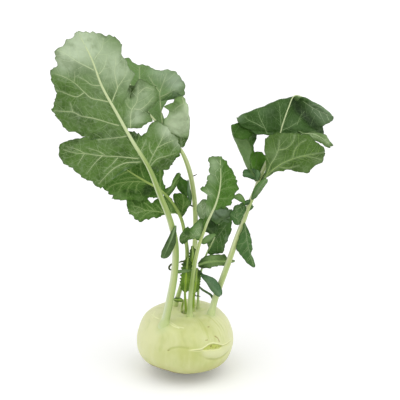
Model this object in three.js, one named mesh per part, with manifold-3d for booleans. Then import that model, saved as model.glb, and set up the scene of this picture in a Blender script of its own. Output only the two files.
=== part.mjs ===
// A kohlrabi as picked, standing on its bulb with its leaves on.
// Millimetres, +Z up. The origin is the middle of the small flat spot that the bulb stands on, and
// the front of the plant faces -Y. Each leaf is a stalk and a blade, and a lobe that has come free
// of its blade is a leaflet of its own.
import * as THREE from 'three';
import { mergeVertices } from 'three/addons/utils/BufferGeometryUtils.js';
import Module from 'manifold-3d';

// Driving dimensions
const BULB_RADIUS = 43.5;
const BULB_HEIGHT = 58.5;
const BLADE_THICKNESS = 1.2;
const LEAFLET_THICKNESS = 1.4;
const GAP = 0.35; // between pieces that meet
const FOOT_FLARE = 0.34; // share of a stalk's radius at its foot that is gone a little way up
const FLARE_FADE = 4; // how fast the flare goes, for each point of the stalk's route

// How finely the curved pieces are cut
const STALK_SIDES = 8;
const STALK_STEPS = 2; // rings for each point of the route
const PETIOLE_SIDES = 6;
const BLADE_CUT = { columns: 4, longest: 12 }; // strips on each side of the midrib, and row spacing
const LEAFLET_CUT = { columns: 2, longest: 9 };
const YOUNG_CUT = { columns: 1, longest: 9 };
const CLOSEST_ROWS = 0.02; // rows of a blade nearer than this along the midrib become one

// Colours: the skin of the bulb, the stalks, and the blades from the glaucous to the bright
const SKIN = 0xd3dc9a;
const STALK = 0xb4c98a;
const BLADE_PALE = 0x7f9f76;
const BLADE_DARK = 0x3d6b3a;
const BLADE_BLUE = 0x4a6d5e;
const BLADE_YOUNG = 0x5c8a2c;
const SKIN_ROUGHNESS = 0.45;
const LEAF_ROUGHNESS = 0.6;

// The bulb's side from the flat spot up to the middle of the crown, as fractions of its radius and
// height. The crown is a shallow dish, with the stalks in and around it.
const BULB_SIDE = [
  [0.3, 0], [0.52, 0.045], [0.76, 0.16], [0.93, 0.31], [1, 0.5], [0.96, 0.7],
  [0.84, 0.87], [0.66, 0.97], [0.46, 1], [0.24, 0.975], [0, 0.95],
];
const BULB_STEPS = 20;
const BULB_SIDES = 36;

// One leaf each. midrib is the route of the stalk and of the rib that goes on from it, from the foot
// in the bulb to the leaf's tip. The blade starts at point number bladeFrom of it. left and right are
// the blade's side ribs, as [place along the midrib, end on the leaf's edge, a point on the way].
const LEAVES = {
  front_leaf: {
    colour: BLADE_PALE,
    midrib: [
      [-17, -19, 44], [-12, -22, 76], [-8, -27, 106], [-7, -32, 132], [-12, -36, 155],
      [-21, -41, 181], [-30, -46, 207], [-42, -50, 229], [-54, -53, 253], [-66, -52, 276],
      [-74, -47, 297], [-85, -40, 317],
    ],
    radius: [5.6, 3.4],
    bladeFrom: 6,
    left: [
      [6.05, [-36, -43, 204]], [6.3, [-69, -36, 187]], [6.4, [-86, -35, 196]],
      [6.5, [-98, -35, 203]], [6.6, [-105, -35, 217]], [6.7, [-103, -35, 222]],
      [6.8, [-95, -36, 226]], [7, [-77, -44, 231]], [7.2, [-86, -39, 231]],
      [7.4, [-103, -38, 241]], [7.7, [-108, -38, 251]], [8, [-105, -38, 262]],
      [8.3, [-106, -39, 275]], [8.5, [-108, -40, 284]], [8.8, [-103, -41, 289]],
      [9.3, [-105, -42, 300]], [10.2, [-96, -41, 309]],
    ],
    right: [
      [6.02, [-20, -32, 199]], [6.1, [-6, -27, 210]], [6.2, [-2, -28, 224]],
      [6.3, [-14, -30, 240]], [6.4, [-22, -33, 242]], [6.5, [-29, -36, 240]],
      [6.6, [-31, -39, 235]], [6.75, [-34, -43, 231]], [6.95, [-40, -47, 234]],
      [7.2, [-45, -49, 237]], [7.45, [-45, -49, 241]], [7.5, [-36, -42, 239]],
      [7.55, [-31, -38, 241]], [7.6, [-27, -36, 244]], [7.65, [-29, -33, 250]],
      [7.7, [-25, -30, 257]], [7.77, [-24, -30, 266]], [7.84, [-28, -31, 274]],
      [7.95, [-37, -33, 278]], [8.3, [-41, -35, 283]], [8.45, [-49, -38, 295]],
      [8.8, [-51, -38, 305]], [9.3, [-56, -38, 312]], [10, [-65, -38, 316]],
      [10.4, [-75, -38, 318]],
    ],
  },
  back_leaf: {
    colour: BLADE_PALE,
    midrib: [
      [5, 13, 46], [6, 14, 76], [7, 14, 96], [8, 15, 117], [8, 18, 138], [7, 22, 161],
      [3, 26, 183], [-4, 30, 201], [-14, 33, 215], [-24, 35, 225], [-34, 37, 233],
      [-42, 38, 244], [-49, 40, 257], [-58, 42, 275],
    ],
    radius: [3.6, 2.4],
    bladeFrom: 7,
    left: [
      [7.2, [-8, 30, 200]], [9.5, [-31, 36, 228]], [10.3, [-52, 36, 233]],
      [11, [-66, 38, 247]], [12, [-72, 40, 264]],
    ],
    right: [
      [7.3, [-5, 33, 204]], [7.8, [-11, 35, 213]], [8.2, [-17, 36, 221]], [8.5, [-20, 36, 227]],
      [9, [-21, 36, 233]], [9.5, [-18, 37, 240]], [9.9, [-15, 38, 245]], [10.2, [-9, 40, 249]],
      [10.7, [-2, 42, 250]], [10.9, [-1, 43, 256]], [11.1, [-6, 44, 263]], [11.3, [-18, 45, 267]],
      [11.6, [-26, 45, 268]], [12, [-35, 46, 272]], [12.3, [-43, 46, 274]], [12.7, [-51, 47, 279]],
    ],
  },
  lower_leaf: {
    colour: BLADE_DARK,
    midrib: [
      [-12, 11, 46], [-3, 8, 77], [0, 6, 97], [1, 5, 113], [-1, 5, 129], [-4, 4, 144],
      [-10, 2, 157], [-18, -2, 169], [-26, -6, 177], [-33, -9, 182], [-44, -12, 190],
      [-54, -13, 197], [-66, -12, 203],
    ],
    radius: [3.2, 1.8],
    bladeFrom: 7.2,
    left: [
      [7.4, [-24, -5, 170]], [8, [-34, -9, 171]], [8.7, [-51, -10, 168]], [9, [-70, -10, 174]],
      [10.2, [-76, -10, 184]], [11, [-78, -10, 195]],
    ],
    right: [
      [7.4, [-20, -3, 176]], [7.7, [-21, -4, 190]], [8.6, [-30, -7, 204]], [9.8, [-51, -12, 212]],
      [10.8, [-62, -12, 211]],
    ],
  },
  middle_leaf: {
    colour: BLADE_DARK,
    midrib: [
      [3, -14, 48], [4, -15, 77], [6, -17, 96], [9, -19, 116], [13, -21, 133], [17, -23, 149],
      [22, -25, 160], [26, -26, 171], [29, -26, 183], [30, -24, 196], [29, -18, 206],
    ],
    radius: [3.4, 2],
    bladeFrom: 4.6,
    left: [
      [4.8, [12, -24, 148]], [5.3, [13, -23, 152]], [5.8, [10, -20, 160]], [6.1, [12, -19, 167]],
      [6.5, [18, -22, 173]], [6.9, [14, -18, 178]], [7.5, [19, -20, 187]], [8.2, [20, -18, 200]],
      [9.2, [23, -16, 206]],
    ],
    right: [
      [5.4, [20, -23, 150]], [6.2, [26, -24, 160]], [6.5, [35, -20, 162]], [6.9, [42, -18, 167]],
      [7.6, [45, -16, 182]], [8.3, [42, -16, 192]], [9.2, [35, -15, 202]],
    ],
  },
  right_leaf: {
    colour: BLADE_DARK,
    midrib: [
      [23, -3, 46], [28, -3, 73], [32, -2, 90], [38, -1, 109], [43, 0, 126], [49, 2, 142],
      [54, 4, 156], [60, 6, 169], [65, 8, 181], [70, 11, 192], [76, 14, 204], [81, 17, 215],
      [85, 20, 226], [90, 26, 237], [98, 36, 245], [108, 43, 242], [114, 47, 231], [117, 49, 218],
    ],
    radius: [3.8, 2.2],
    bladeFrom: 10.6,
    left: [
      [10.8, [72, 17, 216]], [11, [61, 12, 219]], [11.2, [49, 8, 225]], [11.4, [44, 7, 230]],
      [11.6, [44, 11, 234]], [11.9, [54, 32, 226], [52, 19, 237]], [12.3, [64, 36, 219], [62, 24, 240]],
      [12.9, [77, 40, 217], [74, 28, 242]], [13.6, [89, 45, 215], [84, 33, 245]],
      [15, [102, 48, 215]],
    ],
    right: [
      [10.8, [91, 20, 217]], [11, [109, 24, 216]], [11.3, [122, 26, 217]], [11.6, [123, 30, 223]],
      [11.9, [126, 33, 224]], [12.3, [132, 36, 228]], [12.8, [126, 46, 220], [124, 38, 235]],
      [13.6, [121, 49, 219], [112, 39, 241]], [15, [121, 49, 221]],
    ],
  },
  small_leaf: {
    colour: BLADE_BLUE,
    midrib: [
      [11, 4, 48], [11, 6, 75], [13, 8, 90], [18, 12, 107], [25, 16, 121], [30, 18, 136],
      [35, 20, 150],
    ],
    radius: [1.8, 1.2],
    bladeFrom: 3.1,
    left: [
      [3.3, [16, 11, 108]], [3.6, [17, 13, 113]], [4, [23, 18, 124]], [4.5, [20, 22, 134]],
      [5.3, [25, 22, 146]],
    ],
    right: [
      [3.2, [28, 12, 104]], [3.5, [40, 13, 109]], [4.2, [42, 14, 122]], [4.8, [43, 16, 135]],
      [5.5, [43, 18, 147]],
    ],
  },
};

// Lobes that have come free and leaflets along the stalks, on the leaf that each grows from: the
// midrib from the root to the tip, and side ribs as in a leaf.
const LEAFLETS = {
  back_leaf_right_lobe: {
    on: 'back_leaf',
    colour: BLADE_PALE,
    midrib: [[0, 27, 202], [-3, 29, 214], [-5, 31, 226], [-5, 33, 237], [-3, 35, 247]],
    left: [
      [0.5, [-7, 30, 210]], [1, [-14, 31, 219]], [1.5, [-18, 32, 227]], [2, [-15, 33, 233]],
      [2.5, [-13, 34, 239]], [3.2, [-8, 35, 243]],
    ],
    right: [[0.4, [3, 28, 207]], [1, [3, 30, 215]], [2, [2, 32, 229]], [3, [1, 34, 240]]],
  },
  right_leaf_front_lobe: {
    on: 'right_leaf',
    colour: BLADE_PALE,
    midrib: [[66, 5, 180], [77, -1, 189], [86, -6, 198], [100, -10, 206], [114, -9, 210], [121, -6, 211]],
    left: [
      [0.3, [68, 4, 190]], [0.7, [67, 2, 205]], [1, [68, 2, 212]], [1.3, [71, 4, 219]],
      [1.7, [82, 6, 224]], [2.2, [98, 8, 220]], [2.5, [109, 10, 221]], [2.7, [123, 12, 219]],
      [2.85, [128, 10, 210]], [3, [125, 8, 208]], [3.08, [118, 6, 215]], [3.15, [109, 2, 217]],
      [3.8, [115, -2, 213]],
    ],
    right: [
      [1, [80, -2, 188]], [1.8, [88, -4, 191]], [2.6, [101, -6, 189]], [3.1, [106, -7, 192]],
      [3.9, [118, -6, 198]], [4.6, [121, -6, 206]],
    ],
  },
  right_leaf_left_lobe: {
    on: 'right_leaf',
    colour: BLADE_DARK,
    midrib: [[61, 8, 177], [56, 7, 188], [50, 8, 202], [44, 11, 215], [40, 15, 226]],
    left: [
      [0.4, [60, 3, 184]], [1, [57, 0, 192]], [1.6, [56, -2, 204]], [2, [57, -2, 212]],
      [2.4, [55, -1, 218]], [2.9, [49, 2, 218]], [3.3, [44, 5, 219]],
    ],
    right: [
      [0.3, [66, 14, 180]], [0.8, [70, 18, 195]], [1.3, [68, 20, 202]], [1.6, [62, 20, 202]],
      [1.9, [59, 20, 207]], [2.4, [61, 21, 215]], [2.9, [60, 21, 219]], [3.3, [52, 19, 225]],
      [3.7, [46, 18, 228]],
    ],
  },
  right_leaf_small_lobe: {
    on: 'right_leaf',
    colour: BLADE_BLUE,
    midrib: [[61, 1, 181], [57, -3, 186], [51, -4, 186]],
    left: [[0.5, [57, -1, 181]], [1.2, [54, -4, 181]]],
    right: [[0.5, [61, -3, 189]], [1.2, [54, -4, 192]]],
  },
  right_leaf_clasping_leaflet: {
    on: 'right_leaf',
    colour: BLADE_PALE,
    midrib: [[57, 2, 162], [64, -2, 172], [69, -3, 179], [71, -3, 182]],
    left: [[0.6, [58, -1, 168]], [1.2, [62, -2, 177]], [2, [66, -2, 182]]],
    right: [[0.6, [61, -3, 161]], [1.2, [67, -4, 168]], [2, [72, -4, 178]]],
  },
  right_leaf_left_leaflet: {
    on: 'right_leaf',
    colour: BLADE_DARK,
    midrib: [[48, 1, 143], [41, -4, 152], [36, -7, 157], [32, -8, 161]],
    left: [[0.5, [42, -4, 137]], [1.2, [35, -7, 143]], [2, [33, -8, 151]]],
    right: [[0.6, [49, -2, 152]], [1.2, [46, -4, 161]], [2, [39, -6, 164]]],
  },
  right_leaf_hanging_leaflet: {
    on: 'right_leaf',
    colour: BLADE_DARK,
    midrib: [[47, 1, 139], [53, -5, 129], [57, -6, 117], [60, -6, 103]],
    left: [[0.4, [53, -5, 137]], [1, [57, -6, 126]], [2, [61, -6, 111]]],
    right: [[0.5, [48, -5, 130]], [1.2, [48, -5, 116]], [2.2, [54, -6, 106]]],
  },
  middle_leaf_left_lobe: {
    on: 'middle_leaf',
    colour: BLADE_BLUE,
    midrib: [[14, -21, 137], [4, -23, 139], [-1, -25, 139], [-6, -25, 137]],
    left: [[0.7, [8, -25, 132]], [1.3, [0, -26, 131]], [2.2, [-5, -26, 133]]],
    right: [[0.6, [10, -20, 145]], [1.3, [4, -22, 147]], [2.2, [-2, -24, 143]]],
  },
  middle_leaf_right_lobe: {
    on: 'middle_leaf',
    colour: BLADE_PALE,
    midrib: [[13, -21, 134], [20, -22, 136], [26, -20, 137]],
    left: [[0.6, [18, -22, 139]], [1.2, [22, -20, 139]]],
    right: [[0.6, [15, -23, 129]], [1.2, [21, -21, 131]]],
  },
  middle_leaf_lower_leaflet: {
    on: 'middle_leaf',
    colour: BLADE_PALE,
    midrib: [[6, -17, 98], [0, -13, 97], [-9, -12, 99]],
    left: [[0.7, [2, -14, 95]], [1.4, [-6, -12, 97]]],
    right: [[0.7, [2, -13, 100]], [1.4, [-6, -12, 101]]],
  },
  front_leaf_leaflet: {
    on: 'front_leaf',
    colour: BLADE_DARK,
    midrib: [[-10, -36, 152], [-13, -43, 141], [-19, -44, 126]],
    left: [[0.3, [-13, -41, 148]], [1, [-19, -44, 134]], [1.6, [-20, -45, 127]]],
    right: [[0.4, [-7, -41, 147]], [1, [-8, -42, 136]], [1.6, [-14, -44, 126]]],
  },
  lower_leaf_bottom_lobe: {
    on: 'lower_leaf',
    colour: BLADE_DARK,
    midrib: [[-5, 4, 147], [-19, -2, 151], [-35, -5, 155], [-50, -7, 157]],
    left: [[0.6, [-17, -2, 149]], [1.3, [-29, -5, 145]], [1.8, [-40, -6, 146]], [2.5, [-50, -7, 153]]],
    right: [[0.7, [-14, -1, 157]], [1.2, [-22, -3, 163]], [1.6, [-33, -5, 160]], [2.3, [-50, -8, 163]]],
  },
  lower_leaf_right_lobe: {
    on: 'lower_leaf',
    colour: BLADE_DARK,
    midrib: [[-3, 4, 148], [1, 9, 161], [-1, 10, 171], [-4, 10, 179]],
    left: [[0.6, [-5, 8, 157]], [1.3, [-11, 7, 163]], [2, [-10, 8, 168]], [2.5, [-7, 10, 175]]],
    right: [[0.6, [3, 8, 156]], [1.3, [6, 8, 168]], [2, [4, 9, 178]]],
  },
  lower_leaf_upper_lobe: {
    on: 'lower_leaf',
    colour: BLADE_PALE,
    midrib: [[-17, -1, 168], [-13, 3, 174], [-7, 4, 184]],
    left: [[0.4, [-19, 1, 171]], [1.1, [-14, 2, 179]]],
    right: [[0.6, [-12, 3, 168]], [1.1, [-7, 3, 177]]],
  },
  small_leaf_lower_lobe: {
    on: 'small_leaf',
    colour: BLADE_DARK,
    midrib: [[15, 9, 95], [22, 8, 101], [31, 9, 101], [41, 11, 100]],
    left: [[0.5, [15, 6, 97]], [1, [22, 7, 96]], [2, [34, 9, 95]]],
    right: [[0.6, [13, 7, 102]], [1, [18, 8, 107]], [1.5, [27, 9, 106]], [2.2, [36, 10, 105]]],
  },
  blue_leaflet: {
    on: 'small_leaf',
    colour: BLADE_BLUE,
    midrib: [[12, 6, 93], [16, -4, 90], [22, -7, 84], [31, -9, 75]],
    left: [[0.6, [15, -4, 92]], [1.3, [21, -7, 89]], [2.2, [31, -9, 81]]],
    right: [[0.6, [14, -4, 89]], [1.3, [19, -7, 82]], [2.2, [26, -9, 75]]],
  },
  curled_leaflet: {
    on: 'small_leaf',
    colour: BLADE_DARK,
    midrib: [[11, 6, 80], [15, 0, 77], [21, -4, 73], [24, -6, 69]],
    left: [[0.7, [14, 1, 79]], [1.5, [19, -2, 76]], [2.4, [24, -5, 72]]],
    right: [[0.7, [13, 1, 76]], [1.5, [17, -3, 73]], [2.4, [22, -6, 69]]],
  },
};

// The young leaves in the crown: the foot in the bulb, where the blade starts, the tip, half the
// blade's width, and the way that it faces. Their edges are toothed.
const YOUNG_LEAVES = {
  young_leaf_1: {
    foot: [-4, 2, 50], base: [-1, -1, 76], tip: [0, -5, 112], half: 6, face: [-0.2, -1, 0],
  },
  young_leaf_2: {
    foot: [6, 2, 50], base: [7, 1, 66], tip: [8, 0, 97], half: 5, face: [0.3, -1, 0],
  },
  young_leaf_3: {
    foot: [2, 7, 50], base: [4, 1, 88], tip: [5, -1, 118], half: 3.4, face: [0.6, -1, 0],
  },
  young_leaf_4: {
    foot: [-7, 4, 50], base: [-8, 4, 64], tip: [-12, -4, 69], half: 3, face: [0, -0.6, 1],
  },
};
const YOUNG_TEETH = 5;
const YOUNG_NOTCH = 0.7; // width between two teeth, as a share of the width at a tooth
const YOUNG_TOOTHED = [0.06, 0.92]; // the stretch of the blade that has teeth
const YOUNG_WIDEST = [0.12, 0.92]; // the part of a half wave that the outline follows
const YOUNG_BOW = 0.3; // how far the midrib bows out, as a share of half the width
const YOUNG_STALK_RADIUS = 1.6;
const YOUNG_THICKNESS = 1;

const vector = (p) => new THREE.Vector3(...p);

// A curve through points, whose place s runs from 0 at the first point by 1 for each point
function route(points) {
  const curve = new THREE.CatmullRomCurve3(points);
  return (s) => curve.getPoint(s / (points.length - 1));
}

// One closed solid from points and triangles, its faces turned outward
function solid(points, faces) {
  const position = new THREE.Float32BufferAttribute(points.flatMap((p) => [p.x, p.y, p.z]), 3);
  const volume = faces.reduce(
    (sum, [a, b, c]) => sum + points[a].dot(points[b].clone().cross(points[c])), 0);
  const outward = volume < 0 ? faces.map(([a, b, c]) => [a, c, b]) : faces;
  const geometry = new THREE.BufferGeometry();
  geometry.setAttribute('position', position);
  geometry.setIndex(outward.flat());
  return geometry;
}

// A tapering round stalk along a route, wider at its foot
function stalk(points, [radiusFoot, radiusEnd], sides = STALK_SIDES, steps = STALK_STEPS) {
  const at = route(points);
  const end = points.length - 1;
  const rows = end * steps;
  const nudge = 0.05; // how far each way the route's direction is measured
  const rings = [];
  const faces = [];
  let across = new THREE.Vector3(1, 0, 0);
  for (let row = 0; row <= rows; row++) {
    const s = row / steps;
    const along = at(Math.min(s + nudge, end)).sub(at(Math.max(s - nudge, 0))).normalize();
    across = across.clone().addScaledVector(along, -across.dot(along)).normalize();
    const side = along.clone().cross(across);
    const flare = 1 - FOOT_FLARE + FOOT_FLARE * Math.exp(-FLARE_FADE * s);
    const radius = THREE.MathUtils.lerp(flare * radiusFoot, radiusEnd, row / rows);
    for (let k = 0; k < sides; k++) {
      const angle = (2 * Math.PI * k) / sides;
      rings.push(at(s)
        .addScaledVector(across, radius * Math.cos(angle))
        .addScaledVector(side, radius * Math.sin(angle)));
      const next = (k + 1) % sides;
      if (row < rows) {
        const a = row * sides;
        faces.push([a + k, a + next, a + sides + next], [a + k, a + sides + next, a + sides + k]);
      }
    }
  }
  const last = rows * sides;
  for (let k = 1; k + 1 < sides; k++) {
    faces.push([0, k + 1, k], [last, last + k, last + k + 1]);
  }
  return solid(rings, faces);
}

// A thin closed solid on both sides of a grid of points
function sheet(grid, thickness) {
  const rows = grid.length;
  const columns = grid[0].length;
  const index = (row, column) => row * columns + column;
  const upper = [];
  const lower = [];
  for (let row = 0; row < rows; row++) {
    for (let column = 0; column < columns; column++) {
      const across = grid[row][Math.min(column + 1, columns - 1)].clone()
        .sub(grid[row][Math.max(column - 1, 0)]);
      const along = grid[Math.min(row + 1, rows - 1)][column].clone()
        .sub(grid[Math.max(row - 1, 0)][column]);
      const normal = across.cross(along).normalize();
      upper.push(grid[row][column].clone().addScaledVector(normal, thickness / 2));
      lower.push(grid[row][column].clone().addScaledVector(normal, -thickness / 2));
    }
  }
  const below = rows * columns;
  const faces = [];
  for (let row = 0; row + 1 < rows; row++) {
    for (let column = 0; column + 1 < columns; column++) {
      const a = index(row, column);
      const b = index(row, column + 1);
      const c = index(row + 1, column + 1);
      const d = index(row + 1, column);
      faces.push([a, b, c], [a, c, d]);
      faces.push([below + a, below + c, below + b], [below + a, below + d, below + c]);
    }
  }
  const rim = [];
  for (let column = 0; column < columns; column++) rim.push(index(0, column));
  for (let row = 1; row < rows; row++) rim.push(index(row, columns - 1));
  for (let column = columns - 2; column >= 0; column--) rim.push(index(rows - 1, column));
  for (let row = rows - 2; row > 0; row--) rim.push(index(row, 0));
  rim.forEach((a, k) => {
    const b = rim[(k + 1) % rim.length];
    faces.push([b, a, below + a], [b, below + a, below + b]);
  });
  return solid([...upper, ...lower], faces);
}

// One side of a blade: the offset from the midrib at place s along it and t of the way out. It
// starts part of the way out along the first rib and ends in a narrow tip.
function bladeSide(ribs, midrib, from, end) {
  const startShare = 0.3;
  const tipWidth = 1;
  const [firstPlace, firstEdge] = ribs[0];
  const [lastPlace, lastEdge] = ribs.at(-1);
  const spread = ribs.map(([s, edge, via]) => {
    const root = midrib(s);
    const reach = vector(edge).sub(root);
    const middle = via ? vector(via).sub(root) : reach.clone().multiplyScalar(0.5);
    const control = middle.multiplyScalar(2).addScaledVector(reach, -0.5);
    return (t) => control.clone().multiplyScalar(2 * t * (1 - t)).addScaledVector(reach, t * t);
  });
  const startReach = vector(firstEdge).sub(midrib(firstPlace)).multiplyScalar(startShare);
  const endReach = vector(lastEdge).sub(midrib(lastPlace)).setLength(tipWidth);
  const places = [from, ...ribs.map(([s]) => s), end];
  const offsets = [
    (t) => startReach.clone().multiplyScalar(t), ...spread, (t) => endReach.clone().multiplyScalar(t),
  ];
  return (s, t) => {
    let k = 0;
    while (k + 2 < places.length && s > places[k + 1]) k++;
    const u = (s - places[k]) / (places[k + 1] - places[k]);
    return route(offsets.map((offset) => offset(t)))(k + u);
  };
}

// A blade on its midrib, as a grid of points from the left edge to the right edge
function bladeGrid({ midrib, bladeFrom = 0, left, right }, { columns, longest }) {
  const at = route(midrib.map(vector));
  const end = midrib.length - 1;
  const sides = [bladeSide(left, at, bladeFrom, end), bladeSide(right, at, bladeFrom, end)];
  const places = [bladeFrom, ...left.map(([s]) => s), ...right.map(([s]) => s), end]
    .sort((a, b) => a - b)
    .filter((s, k, all) => k === 0 || s - all[k - 1] > CLOSEST_ROWS);
  const rows = [bladeFrom];
  for (let k = 1; k < places.length; k++) {
    const span = Math.max(...sides.map((side) =>
      at(places[k]).add(side(places[k], 1)).distanceTo(at(places[k - 1]).add(side(places[k - 1], 1)))));
    const cuts = Math.max(1, Math.ceil(span / longest));
    for (let cut = 1; cut <= cuts; cut++) {
      rows.push(THREE.MathUtils.lerp(places[k - 1], places[k], cut / cuts));
    }
  }
  return rows.map((s) => {
    const row = [];
    for (let c = -columns; c <= columns; c++) {
      row.push(at(s).add(sides[c < 0 ? 0 : 1](s, Math.abs(c) / columns)));
    }
    return row;
  });
}

// The bulb, turned about its upright axis
function bulb() {
  const side = new THREE.SplineCurve(
    BULB_SIDE.map(([r, z]) => new THREE.Vector2(r * BULB_RADIUS, z * BULB_HEIGHT)));
  const profile = [new THREE.Vector2(0, 0), ...side.getPoints(BULB_STEPS)];
  const turned = new THREE.LatheGeometry(profile, BULB_SIDES).rotateX(Math.PI / 2);
  turned.deleteAttribute('normal');
  turned.deleteAttribute('uv');
  return welded(turned);
}

// The same surface with shared vertices, and without the triangles that close up at the axis
function welded(geometry) {
  const merged = mergeVertices(geometry, 1e-3);
  const corners = merged.index.array;
  const kept = [];
  for (let k = 0; k < corners.length; k += 3) {
    const [a, b, c] = corners.slice(k, k + 3);
    if (a !== b && b !== c && c !== a) kept.push(a, b, c);
  }
  merged.setIndex(kept);
  return merged;
}

// The stalks are cut to the bulb, with a gap, so that they stand on it
const manifold = await Module();
manifold.setup();

function asSolid(geometry) {
  return new manifold.Manifold(new manifold.Mesh({
    numProp: 3,
    vertProperties: Float32Array.from(geometry.attributes.position.array),
    triVerts: Uint32Array.from(geometry.index.array),
  }));
}

function cutBy(geometry, cutter) {
  const { vertProperties, triVerts } = asSolid(geometry).subtract(asSolid(cutter)).getMesh();
  const cut = new THREE.BufferGeometry();
  cut.setAttribute('position', new THREE.Float32BufferAttribute(vertProperties, 3));
  cut.setIndex(Array.from(triVerts));
  return cut;
}

const group = new THREE.Group();
function add(name, geometry, color, roughness = LEAF_ROUGHNESS) {
  geometry.computeVertexNormals();
  const material = new THREE.MeshStandardMaterial({ color, roughness, metalness: 0 });
  const mesh = new THREE.Mesh(geometry, material);
  mesh.name = name;
  group.add(mesh);
}

const bulbSolid = bulb();
add('bulb', bulbSolid, SKIN, SKIN_ROUGHNESS);
const grown = bulbSolid.clone();
const growth = 1 + GAP / BULB_RADIUS;
grown.scale(growth, growth, 1).translate(0, 0, GAP);

// The same tube a little fatter, to cut what stands against it
const fatter = (points, radius) => stalk(points, radius.map((r) => r + GAP));

const stalkCutters = {};
for (const [name, leaf] of Object.entries(LEAVES)) {
  const upTo = Math.floor(leaf.bladeFrom);
  const at = route(leaf.midrib.map(vector));
  const points = leaf.midrib.slice(0, upTo + 1).map(vector);
  if (leaf.bladeFrom > upTo) points.push(at(leaf.bladeFrom));
  const last = points.length - 1;
  points[last] = points[last].add(points[last - 1].clone().sub(points[last]).setLength(2 * GAP));
  stalkCutters[name] = fatter(points, leaf.radius);
  add(`${name}_stalk`, cutBy(stalk(points, leaf.radius), grown), STALK);
  const blade = sheet(bladeGrid(leaf, BLADE_CUT), BLADE_THICKNESS);
  add(`${name}_blade`, cutBy(blade, stalkCutters[name]), leaf.colour);
}
for (const [name, leaflet] of Object.entries(LEAFLETS)) {
  const blade = sheet(bladeGrid(leaflet, LEAFLET_CUT), LEAFLET_THICKNESS);
  add(name, cutBy(blade, stalkCutters[leaflet.on]), leaflet.colour);
}

// A young leaf's side ribs, long to each tooth and short between
function toothed(midrib, across, half) {
  const at = route(midrib);
  const ribs = [];
  for (let k = 0; k <= 2 * YOUNG_TEETH; k++) {
    const share = THREE.MathUtils.lerp(...YOUNG_TOOTHED, k / (2 * YOUNG_TEETH));
    const wave = Math.sin(Math.PI * THREE.MathUtils.lerp(...YOUNG_WIDEST, share));
    const width = half * wave * (k % 2 ? 1 : YOUNG_NOTCH);
    const place = share * (midrib.length - 1);
    ribs.push([place, at(place).addScaledVector(across, width).toArray()]);
  }
  return ribs;
}

for (const [name, leaf] of Object.entries(YOUNG_LEAVES)) {
  const foot = vector(leaf.foot);
  const base = vector(leaf.base);
  const tip = vector(leaf.tip);
  const face = vector(leaf.face).normalize();
  const middle = base.clone().lerp(tip, 0.5).addScaledVector(face, YOUNG_BOW * leaf.half);
  const across = tip.clone().sub(base).cross(face).normalize();
  const midrib = [base, middle, tip];
  const blade = {
    midrib: midrib.map((p) => p.toArray()),
    left: toothed(midrib, across, leaf.half),
    right: toothed(midrib, across.clone().negate(), leaf.half),
  };
  const end = base.clone().add(foot.clone().sub(base).setLength(2 * GAP));
  const petioleRoute = [foot, foot.clone().lerp(end, 0.5), end];
  const petiole = stalk(petioleRoute, [YOUNG_STALK_RADIUS, YOUNG_STALK_RADIUS], PETIOLE_SIDES, 1);
  add(`${name}_stalk`, cutBy(petiole, grown), STALK);
  add(`${name}_blade`, sheet(bladeGrid(blade, YOUNG_CUT), YOUNG_THICKNESS), BLADE_YOUNG);
}

export default group;
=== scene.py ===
import math
import random

import bpy
import numpy as np
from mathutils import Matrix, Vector, noise
from mathutils.bvhtree import BVHTree


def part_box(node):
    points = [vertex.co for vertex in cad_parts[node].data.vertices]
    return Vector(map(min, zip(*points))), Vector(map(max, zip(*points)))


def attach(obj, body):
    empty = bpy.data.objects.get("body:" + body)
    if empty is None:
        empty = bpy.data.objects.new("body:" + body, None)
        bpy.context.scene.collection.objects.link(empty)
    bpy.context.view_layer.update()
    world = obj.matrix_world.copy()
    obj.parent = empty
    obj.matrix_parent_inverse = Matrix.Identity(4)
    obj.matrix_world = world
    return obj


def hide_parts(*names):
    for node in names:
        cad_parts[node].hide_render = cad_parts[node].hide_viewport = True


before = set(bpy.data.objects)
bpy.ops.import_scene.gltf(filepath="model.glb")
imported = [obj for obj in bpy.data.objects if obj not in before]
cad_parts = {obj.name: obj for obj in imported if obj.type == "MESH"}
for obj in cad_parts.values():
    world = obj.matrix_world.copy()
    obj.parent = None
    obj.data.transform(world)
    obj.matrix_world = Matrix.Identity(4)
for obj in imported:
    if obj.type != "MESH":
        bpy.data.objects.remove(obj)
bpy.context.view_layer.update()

MM = 0.001  # the shapes are worked out in millimetres, and stand in metres

# ---------------------------------------------------------------------------------------------
# The table: a white sheet laid flat and running far back, under the light of a bright room and
# two wide soft windows, high up to the left and right. The camera looks a little down on it.
# ---------------------------------------------------------------------------------------------
TABLE_HALF = 8000.0
TABLE_WHITE = (0.97, 0.97, 0.97, 1)
TABLE_GLOW = 0.12  # seen by the camera only, so that the sheet reads as white
PLAIN_WHITE = (1, 1, 1, 1)
ROOM_LIGHT = 0.57
WINDOW_WIDTH = math.radians(75)
WINDOWS = {  # where each stands and how strong its light is
    "left_window": ((-0.75, -0.35, 0.85), 0.97),
    "right_window": ((0.85, -0.35, 0.8), 1.08),
}
LENS_LENGTH = 100
FILM_WIDTH = 36
CAMERA_AIM = Vector((0.0125, 0.0, 0.163))
CAMERA_REACH = 0.972
CAMERA_TILT = math.radians(18)


def shape(name, points, faces, **numbers):
    """A smooth piece from points in millimetres, its faces, and numbers kept for its finish."""
    mesh = bpy.data.meshes.new(name)
    mesh.from_pydata((np.asarray(points) * MM).tolist(), [], [list(map(int, f)) for f in faces])
    for kept, values in numbers.items():
        mesh.attributes.new(kept, "FLOAT", "POINT").data.foreach_set("value", np.float32(values))
    mesh.shade_smooth()
    piece = bpy.data.objects.new(name, mesh)
    bpy.context.scene.collection.objects.link(piece)
    return piece


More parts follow.
